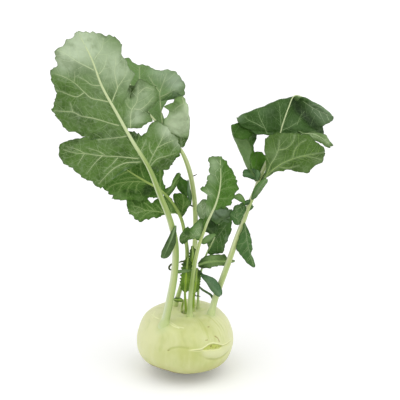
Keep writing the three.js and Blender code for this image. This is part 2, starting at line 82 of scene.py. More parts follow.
def plainly_seen(tree):
    """1 for what is looked at, straight or in a gleam, and 0 for what only lights other things."""
    rays = tree.nodes.new("ShaderNodeLightPath")
    seen = rays.outputs["Is Camera Ray"]
    for way in ("Is Glossy Ray", "Is Transmission Ray"):
        either = tree.nodes.new("ShaderNodeMath")
        either.operation = "MAXIMUM"
        tree.links.new(seen, either.inputs[0])
        tree.links.new(rays.outputs[way], either.inputs[1])
        seen = either.outputs[0]
    return seen


table = shape("table_sheet", [(-TABLE_HALF, -TABLE_HALF, 0), (TABLE_HALF, -TABLE_HALF, 0),
                              (TABLE_HALF, TABLE_HALF, 0), (-TABLE_HALF, TABLE_HALF, 0)], [(0, 1, 2, 3)])
paper = bpy.data.materials.new("white_sheet")
paper.use_nodes = True
sheet = paper.node_tree.nodes["Principled BSDF"]
sheet.inputs["Base Color"].default_value = TABLE_WHITE
sheet.inputs["Roughness"].default_value = 1.0
sheet.inputs["Specular IOR Level"].default_value = 0.0
sheet.inputs["Emission Color"].default_value = PLAIN_WHITE
glow = paper.node_tree.nodes.new("ShaderNodeMath")
glow.operation = "MULTIPLY"
glow.inputs[1].default_value = TABLE_GLOW
paper.node_tree.links.new(plainly_seen(paper.node_tree), glow.inputs[0])
paper.node_tree.links.new(glow.outputs[0], sheet.inputs["Emission Strength"])
table.data.materials.append(paper)

scene = bpy.context.scene
scene.view_settings.view_transform = "Standard"
world = bpy.data.worlds.new("bright_room")
world.use_nodes = True
scene.world = world
sky = world.node_tree
room = sky.nodes["Background"]
room.inputs["Color"].default_value = PLAIN_WHITE
room.inputs["Strength"].default_value = ROOM_LIGHT
backdrop = sky.nodes.new("ShaderNodeBackground")
backdrop.inputs["Color"].default_value = PLAIN_WHITE
backdrop.inputs["Strength"].default_value = 1.0
pick = sky.nodes.new("ShaderNodeMixShader")
sky.links.new(plainly_seen(sky), pick.inputs[0])
sky.links.new(room.outputs[0], pick.inputs[1])
sky.links.new(backdrop.outputs[0], pick.inputs[2])
sky.links.new(pick.outputs[0], sky.nodes["World Output"].inputs["Surface"])

for window, (place, strength) in WINDOWS.items():
    lamp = bpy.data.lights.new(window, "SUN")
    lamp.energy = strength
    lamp.angle = WINDOW_WIDTH
    light = bpy.data.objects.new(window, lamp)
    light.location = place
    light.rotation_euler = (-Vector(place)).to_track_quat("-Z", "Y").to_euler()
    scene.collection.objects.link(light)

lens = bpy.data.cameras.new("camera")
lens.lens = LENS_LENGTH
lens.sensor_width = FILM_WIDTH
camera = bpy.data.objects.new("camera", lens)
towards = Vector((0, math.cos(CAMERA_TILT), -math.sin(CAMERA_TILT)))
camera.location = CAMERA_AIM - towards * CAMERA_REACH
camera.rotation_euler = towards.to_track_quat("-Z", "Y").to_euler()
scene.collection.objects.link(camera)
scene.camera = camera

# ---------------------------------------------------------------------------------------------
# The bulb: the swollen stem, one waxy pale green ball, flatter on top. Where leaves have dropped
# it keeps their scars: a long open one like an eye at the front right, and thin closed ones.
# ---------------------------------------------------------------------------------------------
bulb_low, bulb_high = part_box("bulb")
BULB_RADIUS = (bulb_high.x - bulb_low.x) / 2 / MM
BULB_HEIGHT = (bulb_high.z - bulb_low.z) / MM
BULB_SIDE = [  # its side line from the bottom up, in shares of the radius and the height
    (0.3, 0), (0.52, 0.045), (0.76, 0.16), (0.93, 0.31), (1, 0.5), (0.96, 0.7),
    (0.84, 0.87), (0.66, 0.97), (0.46, 1), (0.24, 0.975), (0.02, 0.95),
]
BULB_ROWS = 170
BULB_COLUMNS = 380
SCAR_TURN = math.radians(32)
SCAR_CLOSENESS = 0.3  # the columns stand closer together on the side of the open scar

# The underside rises from the spot that it stands on as a shallow cone, and at the front left it
# was trimmed flat, with a brown edge
SPOT_RADIUS = 5.0
UNDERSIDE_RISE = 0.4
UNDERSIDE_ROUNDING = 2.5
TRIM_FACING = (-0.278, -0.378, -0.883)
TRIM_REACH = 4.2
TRIM_ROUNDING = 0.9

# The open scar, by the angle from the front: its middle line's height, half of its opening, and
# the lower edge of the full fold under it
SCAR_LINE = [
    (0, 38.4), (8, 38.2), (18, 38.1), (24, 38.6), (30, 39.2), (36, 38.6), (43, 37.2), (50, 36.2),
    (58, 35.6), (66, 35.4), (71, 34.8), (80, 34),
]
SCAR_OPEN = [
    (0, 0), (10, 0.1), (20, 0.3), (23, 1), (28, 2), (35, 2.7), (42, 2.1), (46, 1), (50, 0.2), (80, 0),
]
FOLD_EDGE = [
    (6, 37.8), (9, 36.8), (17, 32.6), (26, 28.8), (36, 26.2), (47, 25.4), (62, 27.2), (69, 30), (73, 33),
]
UPPER_LIP = 0.65
LOWER_LIP = 0.35
SCAR_DEPTH = 0.9
SLIT_DEPTH = 0.4
FOLD_RISE = 1.6
FOLD_CREASE = 0.6
BROW_OVER_SCAR = 3.4
BROW_RISE = 0.3

# Where the stalks stand on the crown, how wide they are there and how far the skin rises to them
STALK_FEET = [
    (-20, -28, 54, 5.5, 1.4), (4, -14.5, 58, 3.6, 1.0), (21.5, -11, 57, 4.2, 1.6),
    (5, 13, 58, 3.8, 1.0), (-12, 11, 58, 3.8, 1.0), (11, 4, 58, 2.4, 0.8),
]
OLD_LEAF_STUMP = (15, 9, 58)
STUMP_REACH = 9
STUMP_RISE = 1.3
STUMP_RING = 0.5

# Thin marks, as lines over the skin
THIN_SCARS = {
    "beside_front_stalk": [(-30.5, -5, 55.5), (-27, -12.5, 56), (-23.5, -17, 56.5)],
    "across_front_stalk": [(-28, -2, 57), (-29, -7, 56), (-29.5, -12, 55)],
    "under_front_stalk": [(-15, -22.5, 57), (-11.5, -26.5, 56.5), (-7.5, -29.5, 55.5), (-2, -31.5, 55)],
    "second_under_stalk": [(-14.5, -25.5, 56.5), (-11, -29, 55.5), (-6, -31.5, 55)],
}
SOFT_CREASES = {  # with how deep and how wide they are
    "front": (1.0, 1.1, [(-15.5, -39.5, 37.3), (-13, -40, 39.2), (-6.5, -41, 41), (2, -42, 40.4)]),
    "below_right_stalk": (0.45, 1.8, [(21, -12, 57.8), (21, -15, 57.5), (20, -21, 56.5)]),
    "from_front_stalk": (0.45, 1.8, [(-20, -32, 52), (-22, -36, 44), (-23, -37, 36)]),
    "under_old_lines": (0.45, 1.8, [(-4, -34, 53), (-2, -39, 47), (1, -42, 41)]),
}
BROWN_MARKS = {
    "above_scar": [(25.5, -30, 46.5), (28, -29, 44), (29.4, -29.4, 41)],
    "speck_left": [(17.6, -35.7, 45.2), (19, -35, 45.2)],
    "speck_high": [(19.6, -26.5, 54), (20.6, -26, 54)],
    "speck_in_crease": [(-15.5, -39.6, 37.3), (-14.5, -39.8, 37.6)],
}
THIN_SCAR_RISE = 0.4
CREASE_DEPTH = 0.55
BROWN_MARK_DEPTH = 0.3
PUCKER_RISE = 0.3
BIG_SWELL = 0.7
SMALL_SWELL = 0.16
LEFT_FULLNESS = 1.9
RIGHT_HOLLOW = 0.4


def route(points):
    """The smooth line through some points. Place 0 is the first point, 1 the second, and so on."""
    p = np.asarray(points, float)
    last = len(p) - 1
    p = np.vstack([2 * p[0] - p[1], p, 2 * p[-1] - p[-2]])
    gap = np.maximum(np.sqrt(np.linalg.norm(np.diff(p, axis=0), axis=1)), 1e-4)

    def at(place):
        s = np.clip(np.atleast_1d(np.asarray(place, float)), 0, last)
        k = np.minimum(s.astype(int), last - 1)
        u = (s - k)[:, None]
        a, b, c = gap[k][:, None], gap[k + 1][:, None], gap[k + 2][:, None]
        p0, p1, p2, p3 = p[k], p[k + 1], p[k + 2], p[k + 3]
        slope1 = ((p1 - p0) / a - (p2 - p0) / (a + b) + (p2 - p1) / b) * b
        slope2 = ((p2 - p1) / b - (p3 - p1) / (b + c) + (p3 - p2) / c) * b
        square = -3 * p1 + 3 * p2 - 2 * slope1 - slope2
        cube = 2 * p1 - 2 * p2 + slope1 + slope2
        return p1 + u * slope1 + u ** 2 * square + u ** 3 * cube
    return at


def run_along(points):
    """How far along a line each of its points lies."""
    return np.concatenate([[0], np.cumsum(np.linalg.norm(np.diff(points, axis=0), axis=1))])


def even_places(at, end, step):
    """Places along a route, from its start, that lie about step millimetres apart."""
    fine = np.linspace(0.0, end, 400)
    run = run_along(at(fine))
    return np.interp(np.linspace(0, run[-1], max(2, int(run[-1] / step) + 1)), run, fine)


def clouds(points, size, seed=0.0):
    """Smooth noise, about -1 to 1, whose swells are about size millimetres across."""
    shifted = np.asarray(points, float) / size + seed
    return np.array([noise.noise(Vector(p)) for p in shifted]) * 1.6


def distance_to(points, line):
    """How far each point is from the nearest place on a line."""
    at = route(line)
    best = np.full(len(points), np.inf)
    for spot in at(even_places(at, len(line) - 1, 0.4)):
        best = np.minimum(best, np.linalg.norm(points - spot, axis=1))
    return best


def hump(distance, width):
    """1 at the middle and fading to 0 over about two widths."""
    return np.exp(-(distance / width) ** 2)


def ramp(value, low, high):
    """0 below low, 1 above high, and smooth between."""
    t = np.clip((value - low) / (high - low), 0, 1)
    return t * t * (3 - 2 * t)


def rounded_max(one, other, radius):
    """The higher of two values, rounded over where they meet."""
    gap = np.clip(0.5 + 0.5 * (one - other) / radius, 0, 1)
    return other + (one - other) * gap + radius * gap * (1 - gap)


def turned_grid(rows, columns):
    """The faces of a round body: a grid that closes round, and a point at each end after it."""
    faces = []
    for row in range(rows - 1):
        for k in range(columns):
            a, b = row * columns + k, row * columns + (k + 1) % columns
            faces.append((a, b, b + columns, a + columns))
    low, high = rows * columns, rows * columns + 1
    top = (rows - 1) * columns
    for k in range(columns):
        faces.append((low, (k + 1) % columns, k))
        faces.append((high, top + k, top + (k + 1) % columns))
    return faces


# the plain ball, turned from its side line
side = route([(r * BULB_RADIUS, 0, z * BULB_HEIGHT) for r, z in BULB_SIDE])
side_places = even_places(side, len(BULB_SIDE) - 1, 0.5)
outline = side(np.interp(np.linspace(0, 1, BULB_ROWS), np.linspace(0, 1, len(side_places)), side_places))
turn = np.linspace(0, 2 * math.pi, BULB_COLUMNS, endpoint=False)
turn = turn - SCAR_CLOSENESS * np.sin(turn)  # from the middle of the scar
azimuth = np.tile(SCAR_TURN + turn, BULB_ROWS)
out = np.repeat(outline[:, 0], BULB_COLUMNS)
up = np.repeat(outline[:, 2], BULB_COLUMNS)
skin = np.stack([out * np.sin(azimuth), -out * np.cos(azimuth), up], 1)
slope = np.gradient(outline, axis=0)
away = np.repeat(np.stack([slope[:, 2], -slope[:, 0]], 1), BULB_COLUMNS, axis=0)
away /= np.linalg.norm(away, axis=1)[:, None]
facing = np.stack([away[:, 0] * np.sin(azimuth), -away[:, 0] * np.cos(azimuth), away[:, 1]], 1)

# the open scar, its lips, the slit that runs on from it, the fold under it and the brow over it
angle = (np.degrees(azimuth) + 180) % 360 - 180
scar_line = np.interp(angle, *zip(*SCAR_LINE))
scar_open = np.interp(angle, *zip(*SCAR_OPEN), left=0, right=0)
fold_edge = np.interp(angle, *zip(*FOLD_EDGE))
beside = ramp(angle, -1, 9) * (1 - ramp(angle, 66, 80))
off_line = up - scar_line
opening = 1 - ramp(np.abs(off_line) / np.maximum(scar_open, 0.01), 0.7, 1.05)
opening *= ramp(scar_open, 0.3, 0.9)
upper_lip = hump(off_line - scar_open - 0.5, 0.7) * beside
lower_lip = hump(off_line + scar_open + 0.4, 0.55) * beside * (1 - ramp(angle, 44, 54))
slit = hump(off_line, 0.4) * beside * (1 - ramp(scar_open, 0.4, 0.9))
down_fold = np.clip((off_line + scar_open) / np.minimum(fold_edge - scar_line + scar_open, -0.5), 0, 1.3)
fold = np.where(down_fold < 1, np.sin(math.pi * np.clip(down_fold, 0, 1) ** 0.75), 0) * (off_line < 0)
fold *= ramp(angle, 10, 28) * (1 - ramp(angle, 58, 73))
fold_crease = hump(up - fold_edge, 1.6) * ramp(angle, 16, 30) * (1 - ramp(angle, 62, 74))
brow = hump(off_line - scar_open - BROW_OVER_SCAR, 2.2) * ramp(angle, 14, 28) * (1 - ramp(angle, 52, 66))
lift = UPPER_LIP * upper_lip + LOWER_LIP * lower_lip - SCAR_DEPTH * opening - SLIT_DEPTH * slit
lift += FOLD_RISE * fold - FOLD_CREASE * fold_crease + BROW_RISE * brow

# the closed scars, soft creases and brown marks
pale_line = np.zeros(len(skin))
for line in THIN_SCARS.values():
    from_scar = distance_to(skin, line)
    lift += THIN_SCAR_RISE * hump(from_scar, 0.7) - THIN_SCAR_RISE * hump(from_scar - 1.4, 0.8)
    pale_line = np.maximum(pale_line, hump(from_scar, 0.6))
soft_crease = np.zeros(len(skin))
for deep, wide, line in SOFT_CREASES.values():
    soft_crease = np.maximum(soft_crease, deep * hump(distance_to(skin, line), wide))
lift -= CREASE_DEPTH * soft_crease
brown_line = np.zeros(len(skin))
for line in BROWN_MARKS.values():
    brown_line = np.maximum(brown_line, hump(distance_to(skin, line), 0.65))
lift -= BROWN_MARK_DEPTH * brown_line

# the skin rises round each foot and over the stump of an old leaf
from_axis = np.hypot(skin[:, 0], skin[:, 1])
collar = np.zeros(len(skin))
for x, y, z, width, rise in STALK_FEET:
    from_foot = np.linalg.norm(skin - (x, y, z), axis=1)
    lift += rise * hump(from_foot, width * 1.3)
    collar = np.maximum(collar, hump(from_foot, width * 1.25))
from_stump = np.linalg.norm(skin - OLD_LEAF_STUMP, axis=1)
lift += STUMP_RISE * (1 - ramp(from_stump, 4, STUMP_REACH))
lift -= STUMP_RING * hump(from_stump - STUMP_REACH - 0.5, 1.5)

# fine puckers above the scar, slow swells all over, and a fuller left side
pucker = clouds(np.stack([angle / 3.2, up / 16, np.zeros(len(up))], 1), 1.0, 4.4)
pucker *= ramp(up, 34, 50) * ramp(angle, 5, 25) * (1 - ramp(angle, 75, 100))
lift += PUCKER_RISE * pucker
lift += BIG_SWELL * clouds(skin, 26, 3.1) + SMALL_SWELL * clouds(skin, 8, 7.7)
lift += (LEFT_FULLNESS * hump(angle + 88, 48) - RIGHT_HOLLOW * hump(angle - 90, 50)) * ramp(up, 5, 22)
lift *= 1 - 0.6 * ramp(up, 50, 58) * (1 - collar)
skin = skin + facing * (lift * ramp(up, 0.02, 3))[:, None]

# the underside's cone and the trimmed place, and the flat spot that it stands on. The flattening
# takes in the middle of the crown too, and leaves a narrow pit there that goes down to the spot
reach = np.hypot(skin[:, 0], skin[:, 1])
cone = (reach - SPOT_RADIUS) * UNDERSIDE_RISE
trim = -(skin[:, 0] * TRIM_FACING[0] + skin[:, 1] * TRIM_FACING[1] - TRIM_REACH) / TRIM_FACING[2]
trim += 0.3 * clouds(skin, 7, 9.1)
raised = rounded_max(rounded_max(skin[:, 2], cone, UNDERSIDE_ROUNDING), trim, TRIM_ROUNDING)
trim_edge = hump(trim - skin[:, 2], 1.2) * ramp(trim, 0.5, 3)
under = ramp(raised - skin[:, 2], 0.3, 1.5)
skin[:, 2] = np.maximum(raised * ramp(reach, SPOT_RADIUS - 2, SPOT_RADIUS), 0)

crown = 1 - ramp(from_axis, 12, 27)
crown *= ramp(up, 45, 52)
# paler round the sides away from the front: wax bloom, and a painted sheen on the grazing sides
waxy = ramp(np.abs((angle - 8 + 180) % 360 - 180), 8, 75) * ramp(up, 12, 26)
bulb_points = np.vstack([skin, [0, 0, 0], [0, 0, skin[-BULB_COLUMNS:, 2].mean()]])
bulb_faces = turned_grid(BULB_ROWS, BULB_COLUMNS)
bulb_marks = {
    "opening": opening, "lip": np.maximum(upper_lip, lower_lip * 0.7), "fold": fold,
    "crease": np.maximum(slit, fold_crease * 0.7), "soft_crease": soft_crease, "pale_line": pale_line,
    "brown_line": brown_line, "crown": crown, "collar": collar, "waxy": waxy, "pucker": pucker,
    "trim_edge": trim_edge, "under": under, "height": up / BULB_HEIGHT,
}
with_ends = {mark: np.concatenate([values, values[[0, -1]]]) for mark, values in bulb_marks.items()}
bulb = shape("bulb_skin", bulb_points, bulb_faces, **with_ends)


def dye(code):
    """A colour as it is read off a paint card, such as a1b2c3, for a shader."""
    parts = [int(code[k:k + 2], 16) / 255 for k in (0, 2, 4)]
    return [p / 12.92 if p < 0.04045 else ((p + 0.055) / 1.055) ** 2.4 for p in parts] + [1.0]


class Finish:
    """A material under construction: add() puts in a node, and a socket goes in as (node, name)."""

    def __init__(self, name, roughness, shine):
        self.material = bpy.data.materials.new(name)
        self.material.use_nodes = True
        self.tree = self.material.node_tree
        self.skin = self.tree.nodes["Principled BSDF"]
        self.skin.inputs["Roughness"].default_value = roughness
        self.skin.inputs["Specular IOR Level"].default_value = shine

    def feed(self, socket, value):
        """Joins a socket to another node's, or sets it to a plain value."""
        if isinstance(value, tuple) and isinstance(value[0], bpy.types.Node):
            self.tree.links.new(value[0].outputs[value[1]], socket)
        else:
            socket.default_value = value

    def add(self, kind, settings=None, **inputs):
        """A new node with its settings and inputs."""
        node = self.tree.nodes.new("ShaderNode" + kind)
        for name, value in (settings or {}).items():
            setattr(node, name, value)
        for name, value in inputs.items():
            self.feed(node.inputs[name.replace("_", " ")], value)
        return node

    def number(self, name):
        """A number kept in the mesh."""
        return (self.add("Attribute", {"attribute_name": name}), "Fac")

    def grain(self, size, detail=3.0, stretch=(1, 1, 1)):
        """Cloudy noise whose clouds are about size millimetres across, around a half."""
        place = self.add("TexCoord")
        scaled = self.add("Mapping", Vector=(place, "Object"), Scale=stretch)
        cloudy = self.add("TexNoise", Vector=(scaled, "Vector"), Scale=1 / (size * MM),
                          Detail=detail, Roughness=0.55)
        return (cloudy, "Fac")

    def between(self, value, low, high, to_low=0.0, to_high=1.0):
        """The value moved smoothly from low..high to to_low..to_high, and kept inside it."""
        node = self.add("MapRange", {"interpolation_type": "SMOOTHSTEP"}, Value=value, From_Min=low,
                        From_Max=high, To_Min=to_low, To_Max=to_high)
        return (node, "Result")

    def times(self, first, second):
        """Two values multiplied."""
        node = self.add("Math", {"operation": "MULTIPLY"})
        self.feed(node.inputs[0], first)
        self.feed(node.inputs[1], second)
        return (node, "Value")

    def over(self, below, above, share, blend="MIX"):
        """One colour laid over another."""
        node = self.add("Mix", {"data_type": "RGBA", "blend_type": blend})
        self.feed(node.inputs[0], share)
        self.feed(node.inputs[6], below)
        self.feed(node.inputs[7], above)
        return (node, 2)

    def mark(self, colour, code, name, low, high, most):
        """A dye laid over a colour where a number kept in the mesh goes from low to high."""
        return self.over(colour, dye(code), self.between(self.number(name), low, high, 0, most))

    def bumps(self, height, depth, under=None):
        """Raises the surface by up to depth millimetres."""
        node = self.add("Bump", Height=height, Distance=depth * MM, Strength=1.0)
        if under is not None:
            self.feed(node.inputs["Normal"], under)
        return (node, "Normal")

    def done(self, colour, normal=None, roughness=None):
        """Hands the shader its colour, and its relief and roughness if they vary."""
        self.feed(self.skin.inputs["Base Color"], colour)
        if normal is not None:
            self.feed(self.skin.inputs["Normal"], normal)
        if roughness is not None:
            self.feed(self.skin.inputs["Roughness"], roughness)
        return self.material


wax = Finish("bulb_wax", roughness=0.42, shine=0.4)
big = wax.grain(22, detail=2.0)
small = wax.grain(5, detail=4.0)
streaks = wax.grain(9, stretch=(1, 1, 0.3))
colour = wax.over(dye("cfd493"), dye("c4ca7e"), wax.between(big, 0.4, 0.62))
# the sides away from the front are paler: wax bloom, with painted sheen
colour = wax.over(colour, dye("dfe1ae"), wax.times(wax.number("waxy"), 0.85))
colour = wax.over(colour, dye("dfe1ae"), wax.between(streaks, 0.5, 0.75, 0, 0.4))
colour = wax.over(colour, dye("b9c67a"), wax.between(streaks, 0.46, 0.3, 0, 0.3))
colour = wax.mark(colour, "b6bf66", "pucker", 0.1, 0.9, 0.4)
colour = wax.mark(colour, "bdb877", "height", 0.45, 0.16, 0.6)
# painted shade on the underside, where the bulb sits on the table
colour = wax.over(colour, dye("77761f"), wax.times(wax.number("under"), 0.95))
colour = wax.mark(colour, "86743a", "trim_edge", 0.25, 1.0, 0.95)
colour = wax.mark(colour, "dde2a4", "crown", 0, 1, 0.85)
colour = wax.mark(colour, "bccb8c", "collar", 0.1, 1, 0.7)
colour = wax.mark(colour, "e0e2b6", "fold", 0, 1, 0.45)
colour = wax.mark(colour, "eef0b8", "lip", 0.15, 0.9, 0.9)
colour = wax.mark(colour, "e9ecb8", "pale_line", 0.15, 0.9, 0.9)
# painted shade along the soft creases
colour = wax.mark(colour, "b4bd6c", "soft_crease", 0.1, 1, 0.65)
speckle = wax.over(dye("bfc864"), dye("8a8440"), wax.between(wax.grain(1.6), 0.52, 0.7))
colour = wax.over(colour, speckle, wax.number("opening"))
# painted shade in the slit and in the crease under the fold
colour = wax.mark(colour, "a3a95c", "crease", 0.1, 1, 0.6)
colour = wax.mark(colour, "8f6f34", "brown_line", 0.2, 1, 0.9)
relief = wax.bumps(wax.grain(1.4, 4.0), 0.12)
relief = wax.bumps(wax.grain(9, 2.0), 0.5, relief)
bulb.data.materials.append(wax.done(colour, relief, wax.between(small, 0.3, 0.7, 0.36, 0.5)))
wax.skin.inputs["Subsurface Weight"].default_value = 0.12
wax.skin.inputs["Subsurface Radius"].default_value = (1.0, 0.9, 0.35)
wax.skin.inputs["Subsurface Scale"].default_value = 0.003
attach(bulb, "root")
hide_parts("bulb")

# ---------------------------------------------------------------------------------------------
# The front leaf's stalk, the thickest of all: it grows out of the left front of the crown, spreads
# at its foot, has a groove down one side and runs on through the blade as its midrib.
# ---------------------------------------------------------------------------------------------
STALK_SIDES = 28
STALK_RING_GAP = 1.4
STALK_GROOVE = 0.12
STREAK_LENGTH = 60
FOOT_FLARE = 0.34  # share of a stalk's width at its foot that is gone a little way up
FLARE_FADE = 4.0
FOOT_SPREAD = 0.28  # it spreads where it leaves the bulb
SPREAD_PLACE = 0.25
SPREAD_WIDTH = 0.22
MIDRIB_END = 0.08  # share of its width that a midrib still has at its tip
TIP_GAP = 0.12  # the midrib ends this much short of the leaf's last point


def ring_tube(name, centres, radii, sides, squeeze=None, **numbers):
    """A round closed tube along some centres. squeeze scales it all round, a row for each ring."""
    centres = np.asarray(centres, float)
    along = np.gradient(centres, axis=0)
    along /= np.linalg.norm(along, axis=1)[:, None] + 1e-9
    across = np.array([1.0, 0, 0])
    angles = np.linspace(0, 2 * math.pi, sides, endpoint=False)
    rings = []
    for row, (centre, forward) in enumerate(zip(centres, along)):
        across = across - forward * across.dot(forward)
        across /= np.linalg.norm(across)
        beside = np.cross(forward, across)
        reach = radii[row] * (1.0 if squeeze is None else squeeze[row])
        rings.append(centre + np.outer(reach * np.cos(angles), across)
                     + np.outer(reach * np.sin(angles), beside))
    points = np.vstack(rings + [centres[:1], centres[-1:]])
    kept = {key: np.concatenate([value.ravel(), [value[0].mean(), value[-1].mean()]])
            for key, value in numbers.items()}
    return shape(name, points, turned_grid(len(centres), sides), **kept)


bulb_tree = BVHTree.FromPolygons([Vector(p) for p in bulb_points], bulb_faces)


def stalk(name, node, midrib, radii, blade_from, finish, outward=(0, -1, 0), waist=0.0, sunny=0.0,
          seed=0.0):
    """A leaf's stalk from its foot in the bulb, running on as the midrib to the leaf's tip, on the
    blade's outward side. waist is how much slimmer it gets where the blade starts, and
    sunny how strongly its left side is painted paler, as painted light, and its right
    side darker, as painted shade."""
    at = route(midrib)
    end = len(midrib) - 1
    places = even_places(at, end - TIP_GAP, STALK_RING_GAP)
    flare = 1 - FOOT_FLARE + FOOT_FLARE * np.exp(-FLARE_FADE * places)
    flare += FOOT_SPREAD * hump(places - SPREAD_PLACE, SPREAD_WIDTH)
    radius = np.interp(places, [0, blade_from], radii) * flare
    fade = np.clip((places - blade_from) / (end - blade_from), 0, 1)
    radius = radius * np.where(fade > 0, (1 - MIDRIB_END) * (1 - fade) ** 0.8 + MIDRIB_END, 1.0)
    radius = radius * (1 - waist * ramp(places, blade_from - 0.9, blade_from + 0.5))
    proud = radius * 0.45 * ramp(places, blade_from - 0.6, blade_from + 0.4)
    centres = at(places) + np.outer(proud, outward)
    run = run_along(centres)
    rows = len(places)
    angles = np.linspace(0, 2 * math.pi, STALK_SIDES, endpoint=False)

    def all_round(values):
        return np.repeat(values, STALK_SIDES).reshape(rows, STALK_SIDES)

    round_about = np.stack([np.tile(np.cos(angles), rows) * 1.3, np.tile(np.sin(angles), rows) * 1.3,
                            np.repeat(run, STALK_SIDES) / STREAK_LENGTH], 1)
    streak = clouds(round_about, 1.0, seed).reshape(rows, STALK_SIDES)
    ridges = 1 + 0.02 * streak - STALK_GROOVE * hump(np.abs(angles - math.pi * 0.5), 0.7)[None, :]
    from_bulb = np.array([bulb_tree.find_nearest(Vector(place))[3] for place in centres])
    in_blade = all_round(ramp(places, blade_from - 0.3, blade_from + 1.5))
    body = ring_tube(name, centres, radius, STALK_SIDES, ridges, streak=streak, in_blade=in_blade,
                     sunny_side=-sunny * np.cos(angles)[None, :] * (1 - in_blade),
                     rooted=all_round(1 - ramp(from_bulb, 0.5, 6.5) * ramp(run, 2, 9)),
                     foot=all_round(1 - ramp(run, 28, 46)))
    body.data.materials.append(finish)
    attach(body, "root")
    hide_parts(node)


def stalk_finish(name, green="92ab5b", pale="bbca84", foot="c2d194", high="d4e0b2"):
    """Stalk peel: green streaked with pale, paler at its foot, where it is rooted and high in the
    blade, with painted light on one side and painted shade on the other."""
    peel = Finish(name, roughness=0.45, shine=0.3)
    colour = peel.over(dye(green), dye(pale), peel.between(peel.number("streak"), -0.5, 0.7))
    colour = peel.mark(colour, foot, "foot", 0, 1, 0.5)
    colour = peel.over(colour, dye("9ab36c"), peel.between(peel.grain(14), 0.5, 0.7, 0, 0.35))
    # painted light makes one side paler, and painted shade makes the other side darker
    colour = peel.mark(colour, "dfe6c6", "sunny_side", 0, 1, 0.75)
    colour = peel.mark(colour, "7c9848", "sunny_side", 0.1, -1, 0.5)
    colour = peel.mark(colour, high, "in_blade", 0, 1, 0.7)
    colour = peel.mark(colour, "c3d190", "rooted", 0, 1, 0.8)
    return peel.done(colour, peel.bumps(peel.grain(1.2, stretch=(1, 1, 0.12)), 0.1))


pale_stalk = stalk_finish("pale_stalk_peel")
FRONT_MIDRIB = [
    (-21.5, -25, 44), (-15, -26, 74), (-9.8, -28, 104), (-8.6, -32, 132), (-12.4, -36, 155),
    (-21, -41, 181), (-30, -46, 207), (-42, -50, 229), (-54, -53, 253), (-66, -52, 276),
    (-74, -47, 297), (-85, -40, 317),
]
FRONT_BLADE_START = 6  # counted in the midrib's points, as all places on it are
stalk("front_stalk", "front_leaf_stalk", FRONT_MIDRIB, radii=(5.4, 3.2), blade_from=FRONT_BLADE_START,
      finish=pale_stalk, waist=0.2, sunny=1.0, seed=2.0)

# ---------------------------------------------------------------------------------------------
# The front leaf's blade: a big thin sheet that shows its waxy underside, on which all ribs stand
# out. The wind has torn it on both sides, and its left lobes sag.
# ---------------------------------------------------------------------------------------------
BLADE_THICKNESS = 0.7
RIM_THICKNESS = 0.45  # share of the thickness that is left at the rim
MARGIN_STEP = 1.9  # spacing of a blade's rows at its margin
MARGIN_CLOSENESS = 1.25  # the columns stand closer together near the margin
TOOTH_LENGTH = 4.0
TOOTH_REACH = 2.2
CUP = -1.8  # how far a blade's margin bends away from the front
PUFF_REACH = 4.5
RUFFLE_REACH = 7.0
WRINKLE_SIZES = (9.0, 3.6)
VEINLET_GAP = 4.2
MIDLINE_WIDTH = (1.5, 0.6)
RIGHT_MARGIN_START = 700  # so that its teeth and waves aren't those of the left margin
VEIN_SIDES = 6
TWIG_WIDTH = (0.24, 0.1)
TWIG_STRIDE = 1.2


def lobe_side(ribs, midrib_at, start, end):
    """One side of a blade: the way from the midrib to each place s along it and t of the way out."""
    places = [start]
    reaches = []
    controls = []
    for rib in ribs:
        root = midrib_at(rib[0])[0]
        reach = np.asarray(rib[1], float) - root
        middle = np.asarray(rib[2], float) - root if len(rib) > 2 else reach * 0.5
        places.append(rib[0])
        reaches.append(reach)
        controls.append(2 * middle - 0.5 * reach)
    places.append(end)
    first = 0.3 * reaches[0]
    last = reaches[-1] / np.linalg.norm(reaches[-1])

    def away(s, t):
        offsets = [first * t]
        for reach, control in zip(reaches, controls):
            offsets.append(control * 2 * t * (1 - t) + reach * t * t)
        offsets.append(last * t)
        k = np.clip(np.searchsorted(places, s, "left") - 1, 0, len(places) - 2)
        low, high = np.array(places)[k], np.array(places)[k + 1]
        return route(offsets)(k + (s - low) / (high - low))
    return away


def blade_rows(at, sides, marks, step):
    """Where a blade's rows leave the midrib: at each mark, and between so close that the margin's
    points lie about step millimetres apart."""
    marks = [mark for k, mark in enumerate(marks) if k == 0 or mark - marks[k - 1] > 0.02]
    one = np.array([1.0])
    rows = [marks[0]]
    for low, high in zip(marks, marks[1:]):
        spans = [np.linalg.norm(at(high) + away(one * high, 1.0) - at(low) - away(one * low, 1.0))
                 for away in sides]
        cuts = max(1, math.ceil(max(spans) / step))
        rows += [low + (high - low) * cut / cuts for cut in range(1, cuts + 1)]
    return np.array(rows)


def margins(grid, columns):
    """How far each point is from its margin, how far along the margin its row ends, and the way out
    there."""
    margin = np.zeros(grid.shape[:2])
    along = np.zeros(grid.shape[:2])
    outward = np.zeros_like(grid)
    for edge, inner, part in ((0, 1, slice(0, columns + 1)), (-1, -2, slice(columns, None))):
        gaps = np.linalg.norm(np.diff(grid[:, part], axis=1), axis=2)
        run = np.concatenate([np.zeros((len(grid), 1)), np.cumsum(gaps, axis=1)], 1)
        margin[:, part] = run if edge == 0 else run[:, -1:] - run
        along[:, part] = run_along(grid[:, edge])[:, None] + (0 if edge == 0 else RIGHT_MARGIN_START)
        way = grid[:, edge] - grid[:, inner]
        outward[:, part] = (way / (np.linalg.norm(way, axis=1)[:, None] + 1e-9))[:, None]
    return margin, along, outward


